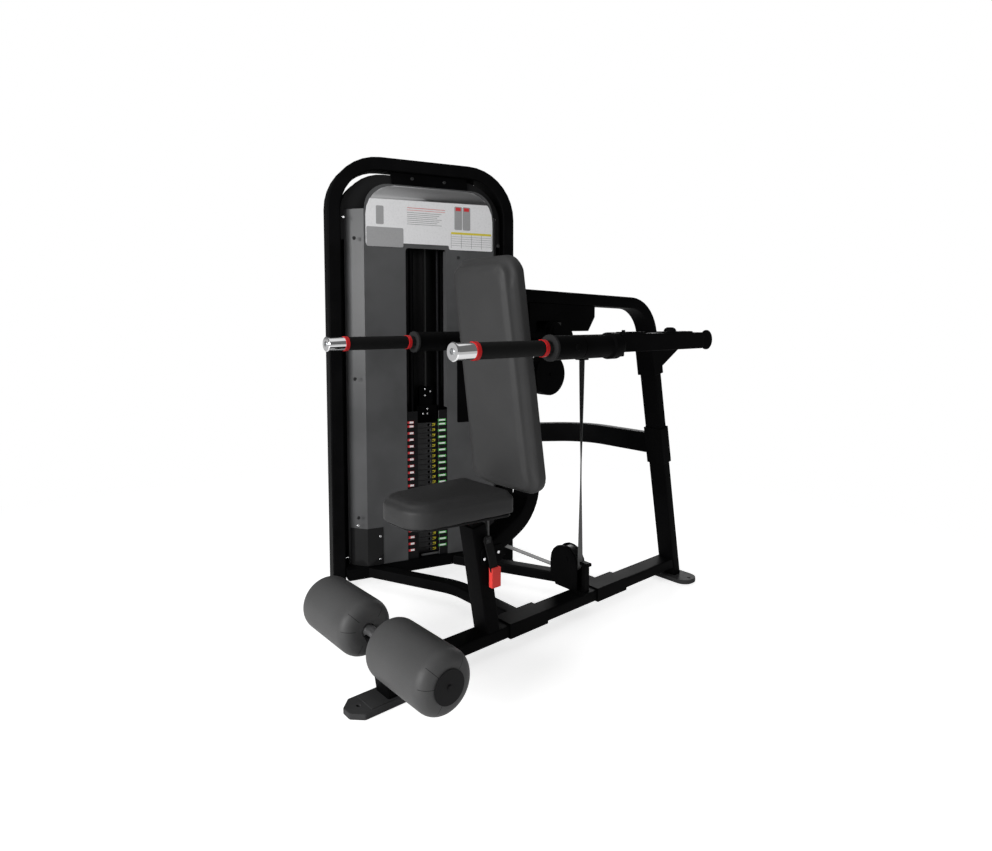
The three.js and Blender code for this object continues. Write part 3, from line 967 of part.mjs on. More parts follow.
// Belts: a flat strip carried along rings given by centre, width and thickness directions
function strip(stations) {
  const half = BELT.half;
  const thin = BELT.thick / 2;
  const corners = [[-1, -1], [1, -1], [1, 1], [-1, 1]];
  const rings = stations.map(([centre, across, through]) => corners.map(([a, b]) => centre.clone()
    .addScaledVector(across, a * half).addScaledVector(through, b * thin)));
  const solid = loft(rings);
  return toSolid(solid).volume() < 0 ? flipped(solid) : solid;
}
function flipped(geometry) {
  const index = geometry.index.array;
  for (let k = 0; k < index.length; k += 3) [index[k], index[k + 1]] = [index[k + 1], index[k]];
  return geometry;
}
const axisY = new THREE.Vector3(0, 1, 0);
const axisX = new THREE.Vector3(1, 0, 0);
const axisZ = new THREE.Vector3(0, 0, 1);
const lowerLoop = beltRadius(LOWER_PULLEY.radius);
const frontLow = LOWER_PULLEY.z + GAP;
const frontHigh = ANCHOR.low - GAP;
const TWIST_STEPS = 10;
const WRAP_STEPS = 10;
const frontStations = [];
for (let k = 0; k <= TWIST_STEPS; k += 1) {
  const share = k / TWIST_STEPS;
  const turn = share * Math.PI / 2;
  const z = frontLow + (frontHigh - frontLow) * share;
  frontStations.push([new THREE.Vector3(LOWER_PULLEY.x + lowerLoop, LOWER_PULLEY.y, z),
    axisY.clone().applyAxisAngle(axisZ, turn), axisX.clone().applyAxisAngle(axisZ, turn)]);
}
add('belt_front', 'rubber', strip(frontStations));

function arc(centre, radius, right, up, from, to, across, sign, steps) {
  const out = [];
  for (let k = 0; k <= steps; k += 1) {
    const turn = (from + (to - from) * k / steps) * DEG;
    const radial = right.clone().multiplyScalar(Math.cos(turn)).addScaledVector(up, Math.sin(turn));
    out.push([centre.clone().addScaledVector(radial, radius), across, radial.multiplyScalar(sign)]);
  }
  return out;
}
const towerN = new THREE.Vector3(turnCos, turnSin, 0);
const towerU = new THREE.Vector3(-turnSin, turnCos, 0);
const QUARTER = 90;
const baseLoop = beltRadius(BASE_PULLEY.radius);
const topLoop = beltRadius(TOP_PULLEY.radius);
const outerCentre = placeOf(HEAD_YOKE.n, TOP_PULLEY.outerU, TOP_PULLEY.z);
const innerCentre = placeOf(HEAD_YOKE.n, innerU, TOP_PULLEY.z);
const runStations = [
  ...arc(lowerCentre, lowerLoop, axisX, axisZ, 0, -QUARTER, axisY, 1, WRAP_STEPS),
  ...arc(baseCentre, baseLoop, axisX, axisZ, -QUARTER, -2 * QUARTER, axisY, 1, WRAP_STEPS),
];
const riserFrom = runStations[runStations.length - 1][0];
const riserTo = outerCentre.clone().addScaledVector(towerU, topLoop);
const riserTurn = QUARTER + TOWER.turn;
for (let k = 1; k < TWIST_STEPS; k += 1) {
  const share = k / TWIST_STEPS;
  runStations.push([riserFrom.clone().lerp(riserTo, share),
    axisY.clone().applyAxisAngle(axisZ, riserTurn * share * DEG),
    axisX.clone().negate().applyAxisAngle(axisZ, riserTurn * share * DEG)]);
}
runStations.push(...arc(outerCentre, topLoop, towerU, axisZ, 0, QUARTER, towerN.clone().negate(), -1, WRAP_STEPS));
runStations.push(...arc(innerCentre, topLoop, towerU, axisZ, QUARTER, 2 * QUARTER, towerN.clone().negate(), -1, WRAP_STEPS));
add('belt_run', 'rubber', strip(runStations));
const stackTop = placeOf(HEAD_YOKE.n, STACK.u, TOP_PULLEY.z - GAP);
add('belt_stack', 'rubber', strip([[stackTop.clone().setZ(carriageHigh + GAP), towerN, towerU],
  [stackTop, towerN, towerU]]));

export default parts;
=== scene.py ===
# %% [markdown]
# # A seated dip machine, dressed for the camera
# The frame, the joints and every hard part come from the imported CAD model.
# Blender adds what a CAD solid can't hold: upholstery, labels, screws,
# and a finish on every surface. All numbers are in metres, Z is up,
# +Y runs to the rear along the main beam, and the tower stands on -X.

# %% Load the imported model
import math

import bmesh
import bpy
from mathutils import Matrix, Vector


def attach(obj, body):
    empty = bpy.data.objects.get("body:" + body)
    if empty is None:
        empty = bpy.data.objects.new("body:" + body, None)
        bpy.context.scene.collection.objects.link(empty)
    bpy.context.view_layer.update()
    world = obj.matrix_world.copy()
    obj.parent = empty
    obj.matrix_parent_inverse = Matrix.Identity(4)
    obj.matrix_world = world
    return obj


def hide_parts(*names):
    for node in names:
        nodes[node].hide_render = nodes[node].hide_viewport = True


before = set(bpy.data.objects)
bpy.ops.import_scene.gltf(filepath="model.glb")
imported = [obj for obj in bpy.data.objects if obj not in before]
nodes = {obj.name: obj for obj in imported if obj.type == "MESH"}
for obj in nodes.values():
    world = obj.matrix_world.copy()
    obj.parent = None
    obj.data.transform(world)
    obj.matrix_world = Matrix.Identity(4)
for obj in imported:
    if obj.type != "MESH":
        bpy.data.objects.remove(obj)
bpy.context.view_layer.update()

# %% [markdown]
# ## The camera
# The photograph was taken from the user's front left, a metre above the
# floor, where a standing person's hands would hold a camera.
# Its vanishing points give the angles; the lens comes from their distance.
# The optical axis passes a little above the picture's middle, so the
# camera has a small vertical shift.

# %% Camera
CAMERA_PLACE = (1.4497, -0.85, 1.0)
CAMERA_TURN = (86.034, 0.0, 49.115)
LENS = 23.8
SHIFT_UP = -0.0606

lens = bpy.data.cameras.new("photo_camera")
lens.sensor_width = 36.0
lens.lens = LENS
lens.shift_y = SHIFT_UP
camera = bpy.data.objects.new("photo_camera", lens)
camera.location = CAMERA_PLACE
camera.rotation_euler = [math.radians(angle) for angle in CAMERA_TURN]
bpy.context.scene.collection.objects.link(camera)
bpy.context.scene.camera = camera
bpy.context.scene.view_settings.view_transform = "Standard"
print("camera at", CAMERA_PLACE)

# %% [markdown]
# ## Shader sums written as sums
# Procedural finishes are sums of noises, masks and ramps. Wrapping a
# socket in a small class lets them be written as Python expressions,
# and each + - * adds the Math node that does it.

# %% A socket that can be added and multiplied


class Value:
    def __init__(self, finish, socket):
        self.finish = finish
        self.socket = socket

    def math(self, operation, *others):
        settings = {"operation": operation}
        sockets = dict(enumerate((self, *others)))
        return self.finish.node("ShaderNodeMath", settings, sockets)

    def swapped(self, operation, other):
        settings = {"operation": operation}
        return self.finish.node("ShaderNodeMath", settings, {0: other, 1: self})

    def __add__(self, other):
        return self.math("ADD", other)

    def __mul__(self, other):
        return self.math("MULTIPLY", other)

    def __sub__(self, other):
        return self.math("SUBTRACT", other)

    def __rsub__(self, other):
        return self.swapped("SUBTRACT", other)

    __radd__ = __add__
    __rmul__ = __mul__

    def steps(self, low, high):
        """0 below low, 1 above high, and a smooth rise between them."""
        settings = {"interpolation_type": "SMOOTHSTEP"}
        sockets = {"Value": self, "From Min": low, "From Max": high}
        return self.finish.node("ShaderNodeMapRange", settings, sockets)

    def above(self, edge):
        return self.math("GREATER_THAN", edge)

    def below(self, edge):
        return self.math("LESS_THAN", edge)


# %% [markdown]
# ## A finish
# One Principled shader, with helpers for the nodes that drive it. Colours
# are written as linear values, as the shader reads them.

# %% The finish helper


class Finish:
    def __init__(self, name, colour, roughness=0.5, metallic=0.0, **constants):
        self.material = bpy.data.materials.new(name)
        self.material.use_nodes = True
        self.tree = self.material.node_tree
        self.shader = self.tree.nodes["Principled BSDF"]
        self.put("Base Color", (*colour, 1.0))
        self.put("Roughness", roughness)
        self.put("Metallic", metallic)
        for socket, value in constants.items():
            self.put(socket.replace("_", " "), value)

    def put(self, socket, value):
        """Sets a constant on the shader, or links what varies to it."""
        if isinstance(value, Value):
            self.tree.links.new(value.socket, self.shader.inputs[socket])
        else:
            self.shader.inputs[socket].default_value = value

    def node(self, kind, settings=None, sockets=None, output=0):
        made = self.tree.nodes.new(kind)
        for name, value in (settings or {}).items():
            if name == "stops":
                for stop, (place, level) in zip(made.color_ramp.elements, value):
                    stop.position = place
                    stop.color = (level, level, level, 1.0)
            else:
                setattr(made, name, value)
        for name, value in (sockets or {}).items():
            if isinstance(value, Value):
                self.tree.links.new(value.socket, made.inputs[name])
            else:
                made.inputs[name].default_value = value
        return Value(self, made.outputs[output])

    def place(self):
        return self.node("ShaderNodeTexCoord", output="Object")

    def axes(self, place=None):
        """x, y and z of a place as three numbers."""
        parted = self.node("ShaderNodeSeparateXYZ", sockets={0: place or self.place()})
        outputs = parted.socket.node.outputs
        return [Value(self, socket) for socket in outputs]

    def inside(self, low, high):
        """1 inside an upright box of space, 0 outside it."""
        inside = 1.0
        for value, least, most in zip(self.axes(), low, high):
            inside = value.above(least) * value.below(most) * inside
        return inside

    def noise(self, scale, detail=2.0, place=None):
        sockets = {"Vector": place or self.place(), "Scale": scale, "Detail": detail}
        return self.node("ShaderNodeTexNoise", sockets=sockets)

    def cells(self, scale, place=None, output="Distance"):
        sockets = {"Vector": place or self.place(), "Scale": scale}
        return self.node("ShaderNodeTexVoronoi", sockets=sockets, output=output)

    def blend(self, share, first, second):
        """A colour between two colours."""
        sockets = {"Factor": share, 6: colour_of(first), 7: colour_of(second)}
        settings = {"data_type": "RGBA"}
        return self.node("ShaderNodeMix", settings, sockets, output=2)

    def bump(self, height, depth, strength=1.0):
        """Small relief: depth is the height of a full step, in metres."""
        sockets = {"Height": height, "Distance": depth, "Strength": strength}
        self.put("Normal", self.node("ShaderNodeBump", sockets=sockets))


def colour_of(value):
    return value if isinstance(value, Value) else (*value, 1.0)


# %% [markdown]
# ## Black powder coat
# Most of the machine is steel tube under satin black powder coat. The
# powder melts into a fine orange-peel skin, so the finish has a soft
# noise in its relief, and its roughness drifts a little from place to
# place, as it does where hands and cloths have polished it. A few parts
# have a paler stretch, such as a sleeve's end face, and a patch gives
# those: a box of space with a colour of its own.

# %% Powder coats


def powder_coat(name, colour, roughness=0.48, peel=0.00004, patches=()):
    """Each patch is a place's lowest and highest corner, and its colour."""
    coat = Finish(name, colour, roughness, Specular_IOR_Level=0.02)
    drift = coat.noise(9.0, 3.0)
    coat.put("Roughness", drift * 0.14 + (roughness - 0.07))
    lifted = [level * 1.4 + 0.0005 for level in colour]
    shade = coat.blend(drift.steps(0.35, 0.75), colour, lifted)
    for low, high, patch in patches:
        shade = coat.blend(coat.inside(low, high), shade, patch)
    coat.put("Base Color", shade)
    coat.bump(coat.noise(420.0, 1.0), peel * 10, 0.12)
    return coat.material


BLACK = (0.003, 0.003, 0.0032)
black_coat = powder_coat("black_powder_coat", BLACK)
deep_black_coat = powder_coat("deep_black_coat", (0.002, 0.002, 0.0022), 0.45)
foot_coat = powder_coat("dark_grey_coat", (0.042, 0.042, 0.043), 0.36)
SLEEVE_FACE = ((-1.0, 0.3165, 0.85), (1.0, 0.3255, 1.05), (0.03, 0.03, 0.0305))
STOP_BLOCK = ((-0.05, 0.6215, 0.96), (0.05, 0.6465, 0.992), (0.09, 0.09, 0.09))
SEAT_LEG = ((0.0175, 0.340, 0.30), (0.0335, 0.360, 0.447), (0.16, 0.16, 0.16))
LATCH_EYE = ((0.04, 0.325, 0.363), (0.06, 0.343, 0.381), (0.045, 0.045, 0.046))
arm_coat = powder_coat("arm_powder_coat", BLACK, patches=[SLEEVE_FACE])
hanger_coat = powder_coat("hanger_powder_coat", BLACK, patches=[STOP_BLOCK])
slider_coat = powder_coat("slider_powder_coat", BLACK, patches=[SEAT_LEG])
latch_coat = powder_coat("latch_powder_coat", (0.012, 0.012, 0.0122), patches=[LATCH_EYE])
print("powder coats made")

# %% [markdown]
# ## Sheet, plastic and rubber
# The tower's front is a bent sheet in mid-grey satin paint. Its colour is
# even, and a fine grain keeps its highlights from being mirror-like.
# Plastic covers have a moulded texture: cells just under a millimetre wide.

# %% Sheets, plastics and rubbers


def moulded(name, colour, roughness, grain=0.00012, size=1300.0, shine=0.12):
    plastic = Finish(name, colour, roughness, Specular_IOR_Level=shine)
    cells = plastic.cells(size)
    plastic.bump(cells, grain, 0.25)
    drift = plastic.noise(7.0, 3.0)
    plastic.put("Roughness", drift * 0.12 + (roughness - 0.06))
    darker = [level * 0.8 for level in colour]
    plastic.put("Base Color", plastic.blend(drift.steps(0.3, 0.7), darker, colour))
    return plastic.material


grey_sheet = moulded("grey_satin_sheet", (0.085, 0.086, 0.088), 0.32, 0.00003, shine=0.22)
black_plastic = moulded("black_moulded_plastic", (0.006, 0.006, 0.0065), 0.42)
shell_plastic = moulded("black_shell_plastic", (0.013, 0.013, 0.0135), 0.38)
wheel_plastic = moulded("black_nylon", (0.009, 0.009, 0.0095), 0.34)
cap_plastic = moulded("roller_cap_plastic", (0.01, 0.01, 0.0105), 0.5)
red_plastic = moulded("red_plastic", (0.95, 0.075, 0.065), 0.3, 0.00005)
guard_plastic = moulded("guard_plastic", (0.016, 0.016, 0.0165), 0.14, 0.00002)
GRIP_FRONT, GRIP_REAR = (0.0725, 0.0845), (0.2895, 0.3015)


def grip(name, colour, collar):
    """Foam rubber, with a red collar at either end of each grip."""
    rubber = Finish(name, colour, 0.72, Specular_IOR_Level=0.15)
    rubber.bump(rubber.cells(900.0), 0.0004, 0.25)
    along = rubber.axes()[1]
    collars = [along.above(start) * along.below(end) for start, end in (GRIP_FRONT, GRIP_REAR)]
    either = collars[0] + collars[1]
    rubber.put("Base Color", rubber.blend(either, colour, collar))
    rubber.put("Roughness", 0.72 - either * 0.34)
    return rubber.material


grip_rubber = grip("grip_rubber", (0.005, 0.005, 0.005), (0.62, 0.02, 0.022))

# %% [markdown]
# ## Chrome and ground steel
# The handles' ends are chrome-plated: nearly white metal, almost smooth,
# with faint wipe marks in the roughness. The axle and guide rods are ground
# bar, whose fine rings run round them, so their relief is a wave along it.

# %% Metals


def plated(name, colour, roughness, marks=0.06):
    metal = Finish(name, colour, roughness, 1.0)
    smears = metal.noise(38.0, 4.0)
    metal.put("Roughness", smears.steps(0.4, 0.75) * marks + roughness)
    return metal


chrome = plated("bright_chrome", (0.88, 0.88, 0.89), 0.05).material
zinc = plated("zinc_plate", (0.52, 0.53, 0.54), 0.3, 0.12).material
CHROME_END = 0.0735


def handle_metal(name):
    """Chrome on the end that shows, and black coat on the stem behind it."""
    metal = plated(name, (0.9, 0.9, 0.91), 0.04, 0.03)
    stem = metal.axes()[1].above(CHROME_END)
    metal.put("Base Color", metal.blend(stem, (0.9, 0.9, 0.91), (0.004, 0.004, 0.004)))
    metal.put("Metallic", 1.0 - stem)
    metal.put("Roughness", stem * 0.5 + 0.05)
    return metal.material


handle_chrome = handle_metal("handle_chrome")


def ground_bar(name, axis, roughness=0.24, colour=(0.62, 0.62, 0.63)):
    bar = plated(name, colour, roughness, 0.1)
    along = bar.axes()[axis]
    rings = (along * 9000.0).math("SINE")
    bar.bump(rings, 0.00002, 0.3)
    return bar.material


axle_steel = ground_bar("ground_axle_steel", 0, 0.4, (0.34, 0.34, 0.345))
# The guide rods are given a near-black colour.
rod_steel = ground_bar("dark_rod_steel", 2, 0.5, (0.012, 0.012, 0.013))
print("metals made")

# %% [markdown]
# ## Upholstery vinyl
# The pads are covered in black-grey vinyl with a fine pebble grain. The
# grain is a cell pattern a millimetre wide; a wider, softer noise lightens
# the colour where the cover is stretched.

# %% Vinyl


AXLE_UP = 0.177
SEAM_ANGLES = (46, 133, 170, 243)
SEAM_HALF = 0.0007
SEAM_FROM, SEAM_TO = 0.04, 0.0745


def roller_seams(cover):
    """Four seams that run out from the cap on each end of a roller."""
    seams = 0.0
    _, along, height = cover.axes()
    up = height - AXLE_UP
    for angle in SEAM_ANGLES:
        cosine, sine = math.cos(math.radians(angle)), math.sin(math.radians(angle))
        out = along * cosine + up * sine
        aside = (along * sine - up * cosine).math("ABSOLUTE")
        seams = aside.below(SEAM_HALF) * out.above(SEAM_FROM) * out.below(SEAM_TO) + seams
    return seams


def vinyl(name, colour, grain_size=900.0, roughness=0.55, seams=None):
    cover = Finish(name, colour, roughness, Specular_IOR_Level=0.3)
    pebbles = cover.cells(grain_size)
    fine = cover.noise(2600.0, 2.0)
    cover.bump(pebbles * 0.8 + fine * 0.4, 0.00022, 0.4)
    stretch = cover.noise(5.5, 3.0).steps(0.3, 0.72)
    lighter = [level * 1.22 for level in colour]
    mottled = cover.blend(stretch, colour, lighter)
    worn = cover.blend(pebbles.steps(0.15, 0.6) * 0.35, mottled, [level * 0.6 for level in colour])
    if seams:
        worn = cover.blend(seams(cover), worn, [level * 0.15 for level in colour])
    cover.put("Base Color", worn)
    cover.put("Roughness", fine * 0.12 + (roughness - 0.05))
    return cover.material


seat_vinyl = vinyl("seat_vinyl", (0.031, 0.031, 0.0315))
back_vinyl = vinyl("back_vinyl", (0.041, 0.041, 0.0415))
roller_vinyl = vinyl("roller_vinyl", (0.073, 0.073, 0.0735), 1100.0, 0.5, roller_seams)

# %% [markdown]
# ## Belts and plates
# The belt is black rubber, mottled by dust. Its long free run at the front
# grows paler towards the floor: painted light, standing in for the floor
# lighting it from below. The weight plates are iron under thin black paint,
# rough as cast.

# %% Belt rubber and cast iron
belt = Finish("belt_rubber", (0.02, 0.02, 0.02), 0.6)
belt.bump(belt.noise(900.0, 2.0), 0.0001, 0.4)
belt.put("Base Color", belt.blend(belt.noise(60.0, 3.0), (0.02, 0.02, 0.02), (0.04, 0.04, 0.04)))
# The front run pales towards the floor: painted light from below.
front_belt_painted_light = Finish("belt_rubber_painted_underlight", (0.05, 0.05, 0.05), 0.5)
front_belt_painted_light.bump(front_belt_painted_light.noise(900.0, 2.0), 0.0001, 0.4)
painted_underlight = front_belt_painted_light.axes()[2].steps(0.62, 0.30)
front_belt_painted_light.put("Base Color", front_belt_painted_light.blend(painted_underlight, (0.026, 0.026, 0.026), (0.13, 0.13, 0.13)))
iron = Finish("painted_iron", (0.008, 0.008, 0.009), 0.48)
iron.bump(iron.noise(260.0, 4.0), 0.0004, 0.3)
iron.put("Roughness", iron.noise(30.0, 2.0) * 0.2 + 0.36)

# %% [markdown]
# ## Finishes onto the CAD nodes
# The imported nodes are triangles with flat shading. Three live modifiers
# make them look turned and bent without moving a point: Weld joins the
# triangles, Edge Split parts them again where the angle is sharp, and
# Weighted Normal lets the large faces decide how the small ones shade.

# %% Dress the CAD nodes
FINISH_OF = {
    black_coat: "front_post frame_tube main_beam top_saddle seat_post back_tube front_cross_tube"
    " rear_cross_tube mid_brace arm_yoke counterweight pulley_yoke tower_frame",
    arm_coat: "press_arm_left press_arm_right",
    hanger_coat: "pivot_hanger",
    slider_coat: "seat_slider",
    latch_coat: "seat_latch",
    deep_black_coat: "tower_base base_pulley_yoke head_bracket stack_carriage",
    foot_coat: "front_foot rear_foot",
    grey_sheet: "front_shroud window_sill",
    guard_plastic: "corner_guard_left corner_guard_right",
    shell_plastic: "rear_shell",
    black_plastic: "seat_board back_board label_carrier_left label_carrier_right"
    " tower_foot_left tower_foot_right",
    wheel_plastic: "lower_pulley base_pulley head_pulley_1 head_pulley_2",
    cap_plastic: "roller_cap_left roller_cap_right",
    red_plastic: "latch_grip",
    grip_rubber: "handle_grip_left handle_grip_right",
    handle_chrome: "handle_tube_left handle_tube_right",
    chrome: "selector_pin",
    axle_steel: "roller_axle",
    rod_steel: "guide_rod_left guide_rod_right",
    iron.material: "stack_lower stack_lifted",
    belt.material: "belt_stack",
    front_belt_painted_light.material: "belt_front belt_run",
}
SMOOTH_BELOW = math.radians(32)


def dress(node, finish):
    for slot in node.material_slots:
        slot.material = finish
    node.data.polygons.foreach_set("use_smooth", [True] * len(node.data.polygons))
    weld = node.modifiers.new("weld", "WELD")
    weld.merge_threshold = 0.00002
    split = node.modifiers.new("split", "EDGE_SPLIT")
    split.split_angle = SMOOTH_BELOW
    node.modifiers.new("weigh", "WEIGHTED_NORMAL")


for finish, names in FINISH_OF.items():
    for name in names.split():
        dress(nodes[name], finish)
print("dressed", sum(len(names.split()) for names in FINISH_OF.values()), "nodes")

# %% [markdown]
# ## Modelling by hand, in code
# Every new piece starts as a primitive and is shaped with Blender's own
# edit-mode tools. The tools act on whatever is selected, so each step
# first says what that is: `only` selects one object, and `pick` selects
# the faces, edges or points for which a test holds.

# %% Selecting and settling
EDIT_MODES = {"faces": "FACE", "edges": "EDGE", "verts": "VERT"}


def only(piece):
    bpy.ops.object.select_all(action="DESELECT")
    piece.select_set(True)
    bpy.context.view_layer.objects.active = piece


def pick(piece, kind, test):
    bpy.ops.mesh.select_all(action="DESELECT")
    bpy.ops.mesh.select_mode(type=EDIT_MODES[kind])
    shape = bmesh.from_edit_mesh(piece.data)
    for item in getattr(shape, kind):
        if test(item):
            item.select_set(True)
    shape.select_flush_mode()
    bmesh.update_edit_mesh(piece.data)


def push(distance, direction=(0, 0, 1)):
    """Extrudes what is selected along a direction."""
    step = tuple(distance * part for part in direction)
    bpy.ops.mesh.extrude_region_move(TRANSFORM_OT_translate={"value": step})


def outward(piece):
    """Turns every face outwards and leaves edit mode."""
    bpy.ops.mesh.select_all(action="SELECT")
    bpy.ops.mesh.normals_make_consistent(inside=False)
    bpy.ops.object.mode_set(mode="OBJECT")


def apply_all(piece):
    only(piece)
    for modifier in list(piece.modifiers):
        bpy.ops.object.modifier_apply(modifier=modifier.name)


def settle(piece, name, finish, body, place=None):
    """Moves the mesh to its place, and gives it a name, finish, body and slot."""
    only(piece)
    if place is not None:
        piece.matrix_world = place @ piece.matrix_world
    bpy.ops.object.transform_apply(location=True, rotation=True, scale=True)
    piece.name = name
    piece.data.name = name
    piece.data.materials.clear()
    piece.data.materials.append(finish)
    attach(piece, body)
    size = [round(side, 4) for side in piece.dimensions]
    print(name, "has", len(piece.data.polygons), "faces and measures", size)
    return piece


# %% [markdown]
# ## Upholstered pads
# A gym pad is plywood, a block of firm foam, and vinyl pulled tight over
# both. Seen from the side it has three parts: an upright wall, a soft
# ridge, and a step that climbs from the ridge to the flat face. A plane
# gives the outline, Bevel on its corner points rounds them, Extrude makes
# the wall, and a row of Insets, each with its own depth, draws the step.

# %% The firm shape of a pad
CORNER_STEPS = 10


def pad_block(width, tall, narrow, rounds, wall, steps):
    """A pad that lies flat. narrow is the share of the width at its front."""
    bpy.ops.object.select_all(action="DESELECT")
    bpy.ops.mesh.primitive_plane_add(size=1, location=(0, 0, 0))
    pad = bpy.context.object
    bpy.ops.object.mode_set(mode="EDIT")
    bpy.ops.transform.resize(value=(width, tall, 1), center_override=(0, 0, 0))
    pick(pad, "verts", lambda point: point.co.y < 0)
    bpy.ops.transform.resize(value=(narrow, 1, 1), center_override=(0, 0, 0))
    bpy.ops.mesh.bevel(offset=rounds[0], segments=CORNER_STEPS, affect="VERTICES")
    pick(pad, "verts", lambda point: point.co.y > tall / 2 - rounds[0] / 10)
    bpy.ops.mesh.bevel(offset=rounds[1], segments=CORNER_STEPS, affect="VERTICES")
    bpy.ops.mesh.select_all(action="SELECT")
    push(wall)
    outward(pad)
    bpy.ops.object.mode_set(mode="EDIT")
    pick(pad, "faces", lambda face: face.normal.z > 0.9)
    for inset, rise in steps:
        bpy.ops.mesh.inset(thickness=inset, depth=rise)
    outward(pad)
    return pad


# %% [markdown]
# The foam swells a little under its cover, most in the middle of each
# face and not at all on the board's side. Blender's cloth with pressure inside
# does the same: the mesh is remeshed to even squares, its underside is
# held to the board, and it is blown up for a dozen frames. A point takes
# only the outward share of its movement, and no more than a few
# millimetres of it, because the foam is firm.

# %% Swelling with the cloth simulation
PRESSURE = 4.0
SWELL_FRAMES = 12
VOXEL = 0.005
HELD_HIGH = 0.004
SMOOTHINGS = 6


def on_board(place):
    """True for the points of a pad's underside, which its board holds."""
    return place.z < HELD_HIGH


def swell(pad, most, held):
    """Blows a remeshed pad up; most caps the movement, held is a test."""
    only(pad)
    pad.data.remesh_voxel_size = VOXEL
    bpy.ops.object.voxel_remesh()
    group = pad.vertex_groups.new(name="held")
    points = [point.index for point in pad.data.vertices if held(point.co)]
    group.add(points, 1.0, "REPLACE")
    cloth = pad.modifiers.new("cloth", "CLOTH")
    cloth.settings.vertex_group_mass = "held"
    cloth.settings.use_pressure = True
    cloth.settings.uniform_pressure_force = PRESSURE
    cloth.settings.effector_weights.gravity = 0
    cloth.point_cache.frame_start = 1
    cloth.point_cache.frame_end = SWELL_FRAMES
    for step in range(1, SWELL_FRAMES + 1):
        bpy.context.scene.frame_set(step)
    graph = bpy.context.evaluated_depsgraph_get()
    blown = [point.co.copy() for point in pad.evaluated_get(graph).data.vertices]
    pad.modifiers.remove(cloth)
    bpy.context.scene.frame_set(1)
    outwards = [point.normal.copy() for point in pad.data.vertices]
    for point, reached, out in zip(pad.data.vertices, blown, outwards):
        rise = (reached - point.co).dot(out)
        point.co += out * min(max(rise, 0.0), most)
    smooth = pad.modifiers.new("smooth", "SMOOTH")
    smooth.iterations = SMOOTHINGS
    round_off = pad.modifiers.new("round_off", "SUBSURF")
    round_off.levels = round_off.render_levels = 1
    apply_all(pad)
    bpy.ops.object.shade_smooth()
    return pad


# %% [markdown]
# ## The seat pad
# The seat narrows towards the front, where its corners are wide arcs. Its
# top is flat and dark, and a soft step about two centimetres high runs
# round it. It lies on its board with a slight tip to the rear, which a
# sheared matrix gives, as in the CAD model.

# %% Seat pad
SEAT_TIP = -0.0235
SEAT_FRONT, SEAT_REAR = 0.048, 0.381
SEAT_LOW = 0.4623
SEAT_MIDDLE = (SEAT_FRONT + SEAT_REAR) / 2
SEAT_SLACK = 0.003
SEAT_SWELL = 0.003
SEAT_STEPS = [
    (0.003, 0.005),
    (0.006, 0.003),
    (0.003, 0.003),
    (0.002, 0.006),
    (0.004, 0.002),
    (0.005, 0.001),
]

seat_block = pad_block(
    width=0.240,
    tall=SEAT_REAR - SEAT_FRONT - SEAT_SLACK,
    narrow=0.805,
    rounds=(0.064, 0.026),
    wall=0.043,
    steps=SEAT_STEPS,
)
swell(seat_block, SEAT_SWELL, on_board)
seat_place = Matrix.Translation((0, SEAT_MIDDLE, SEAT_LOW))
seat_place[2][1] = SEAT_TIP
seat_cover = settle(seat_block, "seat_cover", seat_vinyl, "seat", seat_place)
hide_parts("seat_pad")

# %% [markdown]
# ## The back pad
# The back pad is the largest soft piece: 27 cm wide and 69 cm tall, with a
# flat face, a deeper step than the seat's, and the same board behind. It
# is drawn lying down and then stood up, its top eight degrees forward.

# %% Back pad
BACK_LEAN = math.radians(7.9)
BACK_THICK = 0.062
BACK_FRONT = Vector((0, 0.3707, 0.8315))
BACK_SWELL = 0.003
BACK_STEPS = [
    (0.002, 0.004),
    (0.009, 0.006),
    (0.004, 0.005),
    (0.003, 0.009),
    (0.003, 0.005),
    (0.005, 0.002),
    (0.012, 0.001),
]

back_block = pad_block(
    width=0.267,
    tall=0.689,
    narrow=1.078,
    rounds=(0.052, 0.056),
    wall=0.027,
    steps=BACK_STEPS,
)
swell(back_block, BACK_SWELL, on_board)
back_up = Vector((0, -math.sin(BACK_LEAN), math.cos(BACK_LEAN)))
back_out = Vector((0, -math.cos(BACK_LEAN), -math.sin(BACK_LEAN)))
back_place = Matrix((Vector((1, 0, 0)), back_up, back_out)).transposed().to_4x4()
back_place.translation = BACK_FRONT - back_out * BACK_THICK
back_cover = settle(back_block, "back_cover", back_vinyl, "frame", back_place)
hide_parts("back_pad")

# %% [markdown]
# ## Foam rollers
# Each roller is a foam sleeve in a sewn vinyl cover, with wide rounded
# ends. A cylinder gets its bore from Inset and Bridge, and its round ends
# from Bevel on the two rims. One roller is made, and the other is its
# copy on the axle's other end.

# %% Foam rollers
ROLLER_RADIUS, ROLLER_BORE = 0.0779, 0.0175
ROLLER_INNER, ROLLER_OUTER = 0.0485, 0.3055
ROLLER_ROUND = 0.031
ROLLER_SWELL = 0.0014


def roller_rim(edge):
    middle = (edge.verts[0].co + edge.verts[1].co) / 2
    level = abs(edge.verts[0].co.z - edge.verts[1].co.z) < 0.001
    return level and math.hypot(middle.x, middle.y) > ROLLER_RADIUS * 0.9


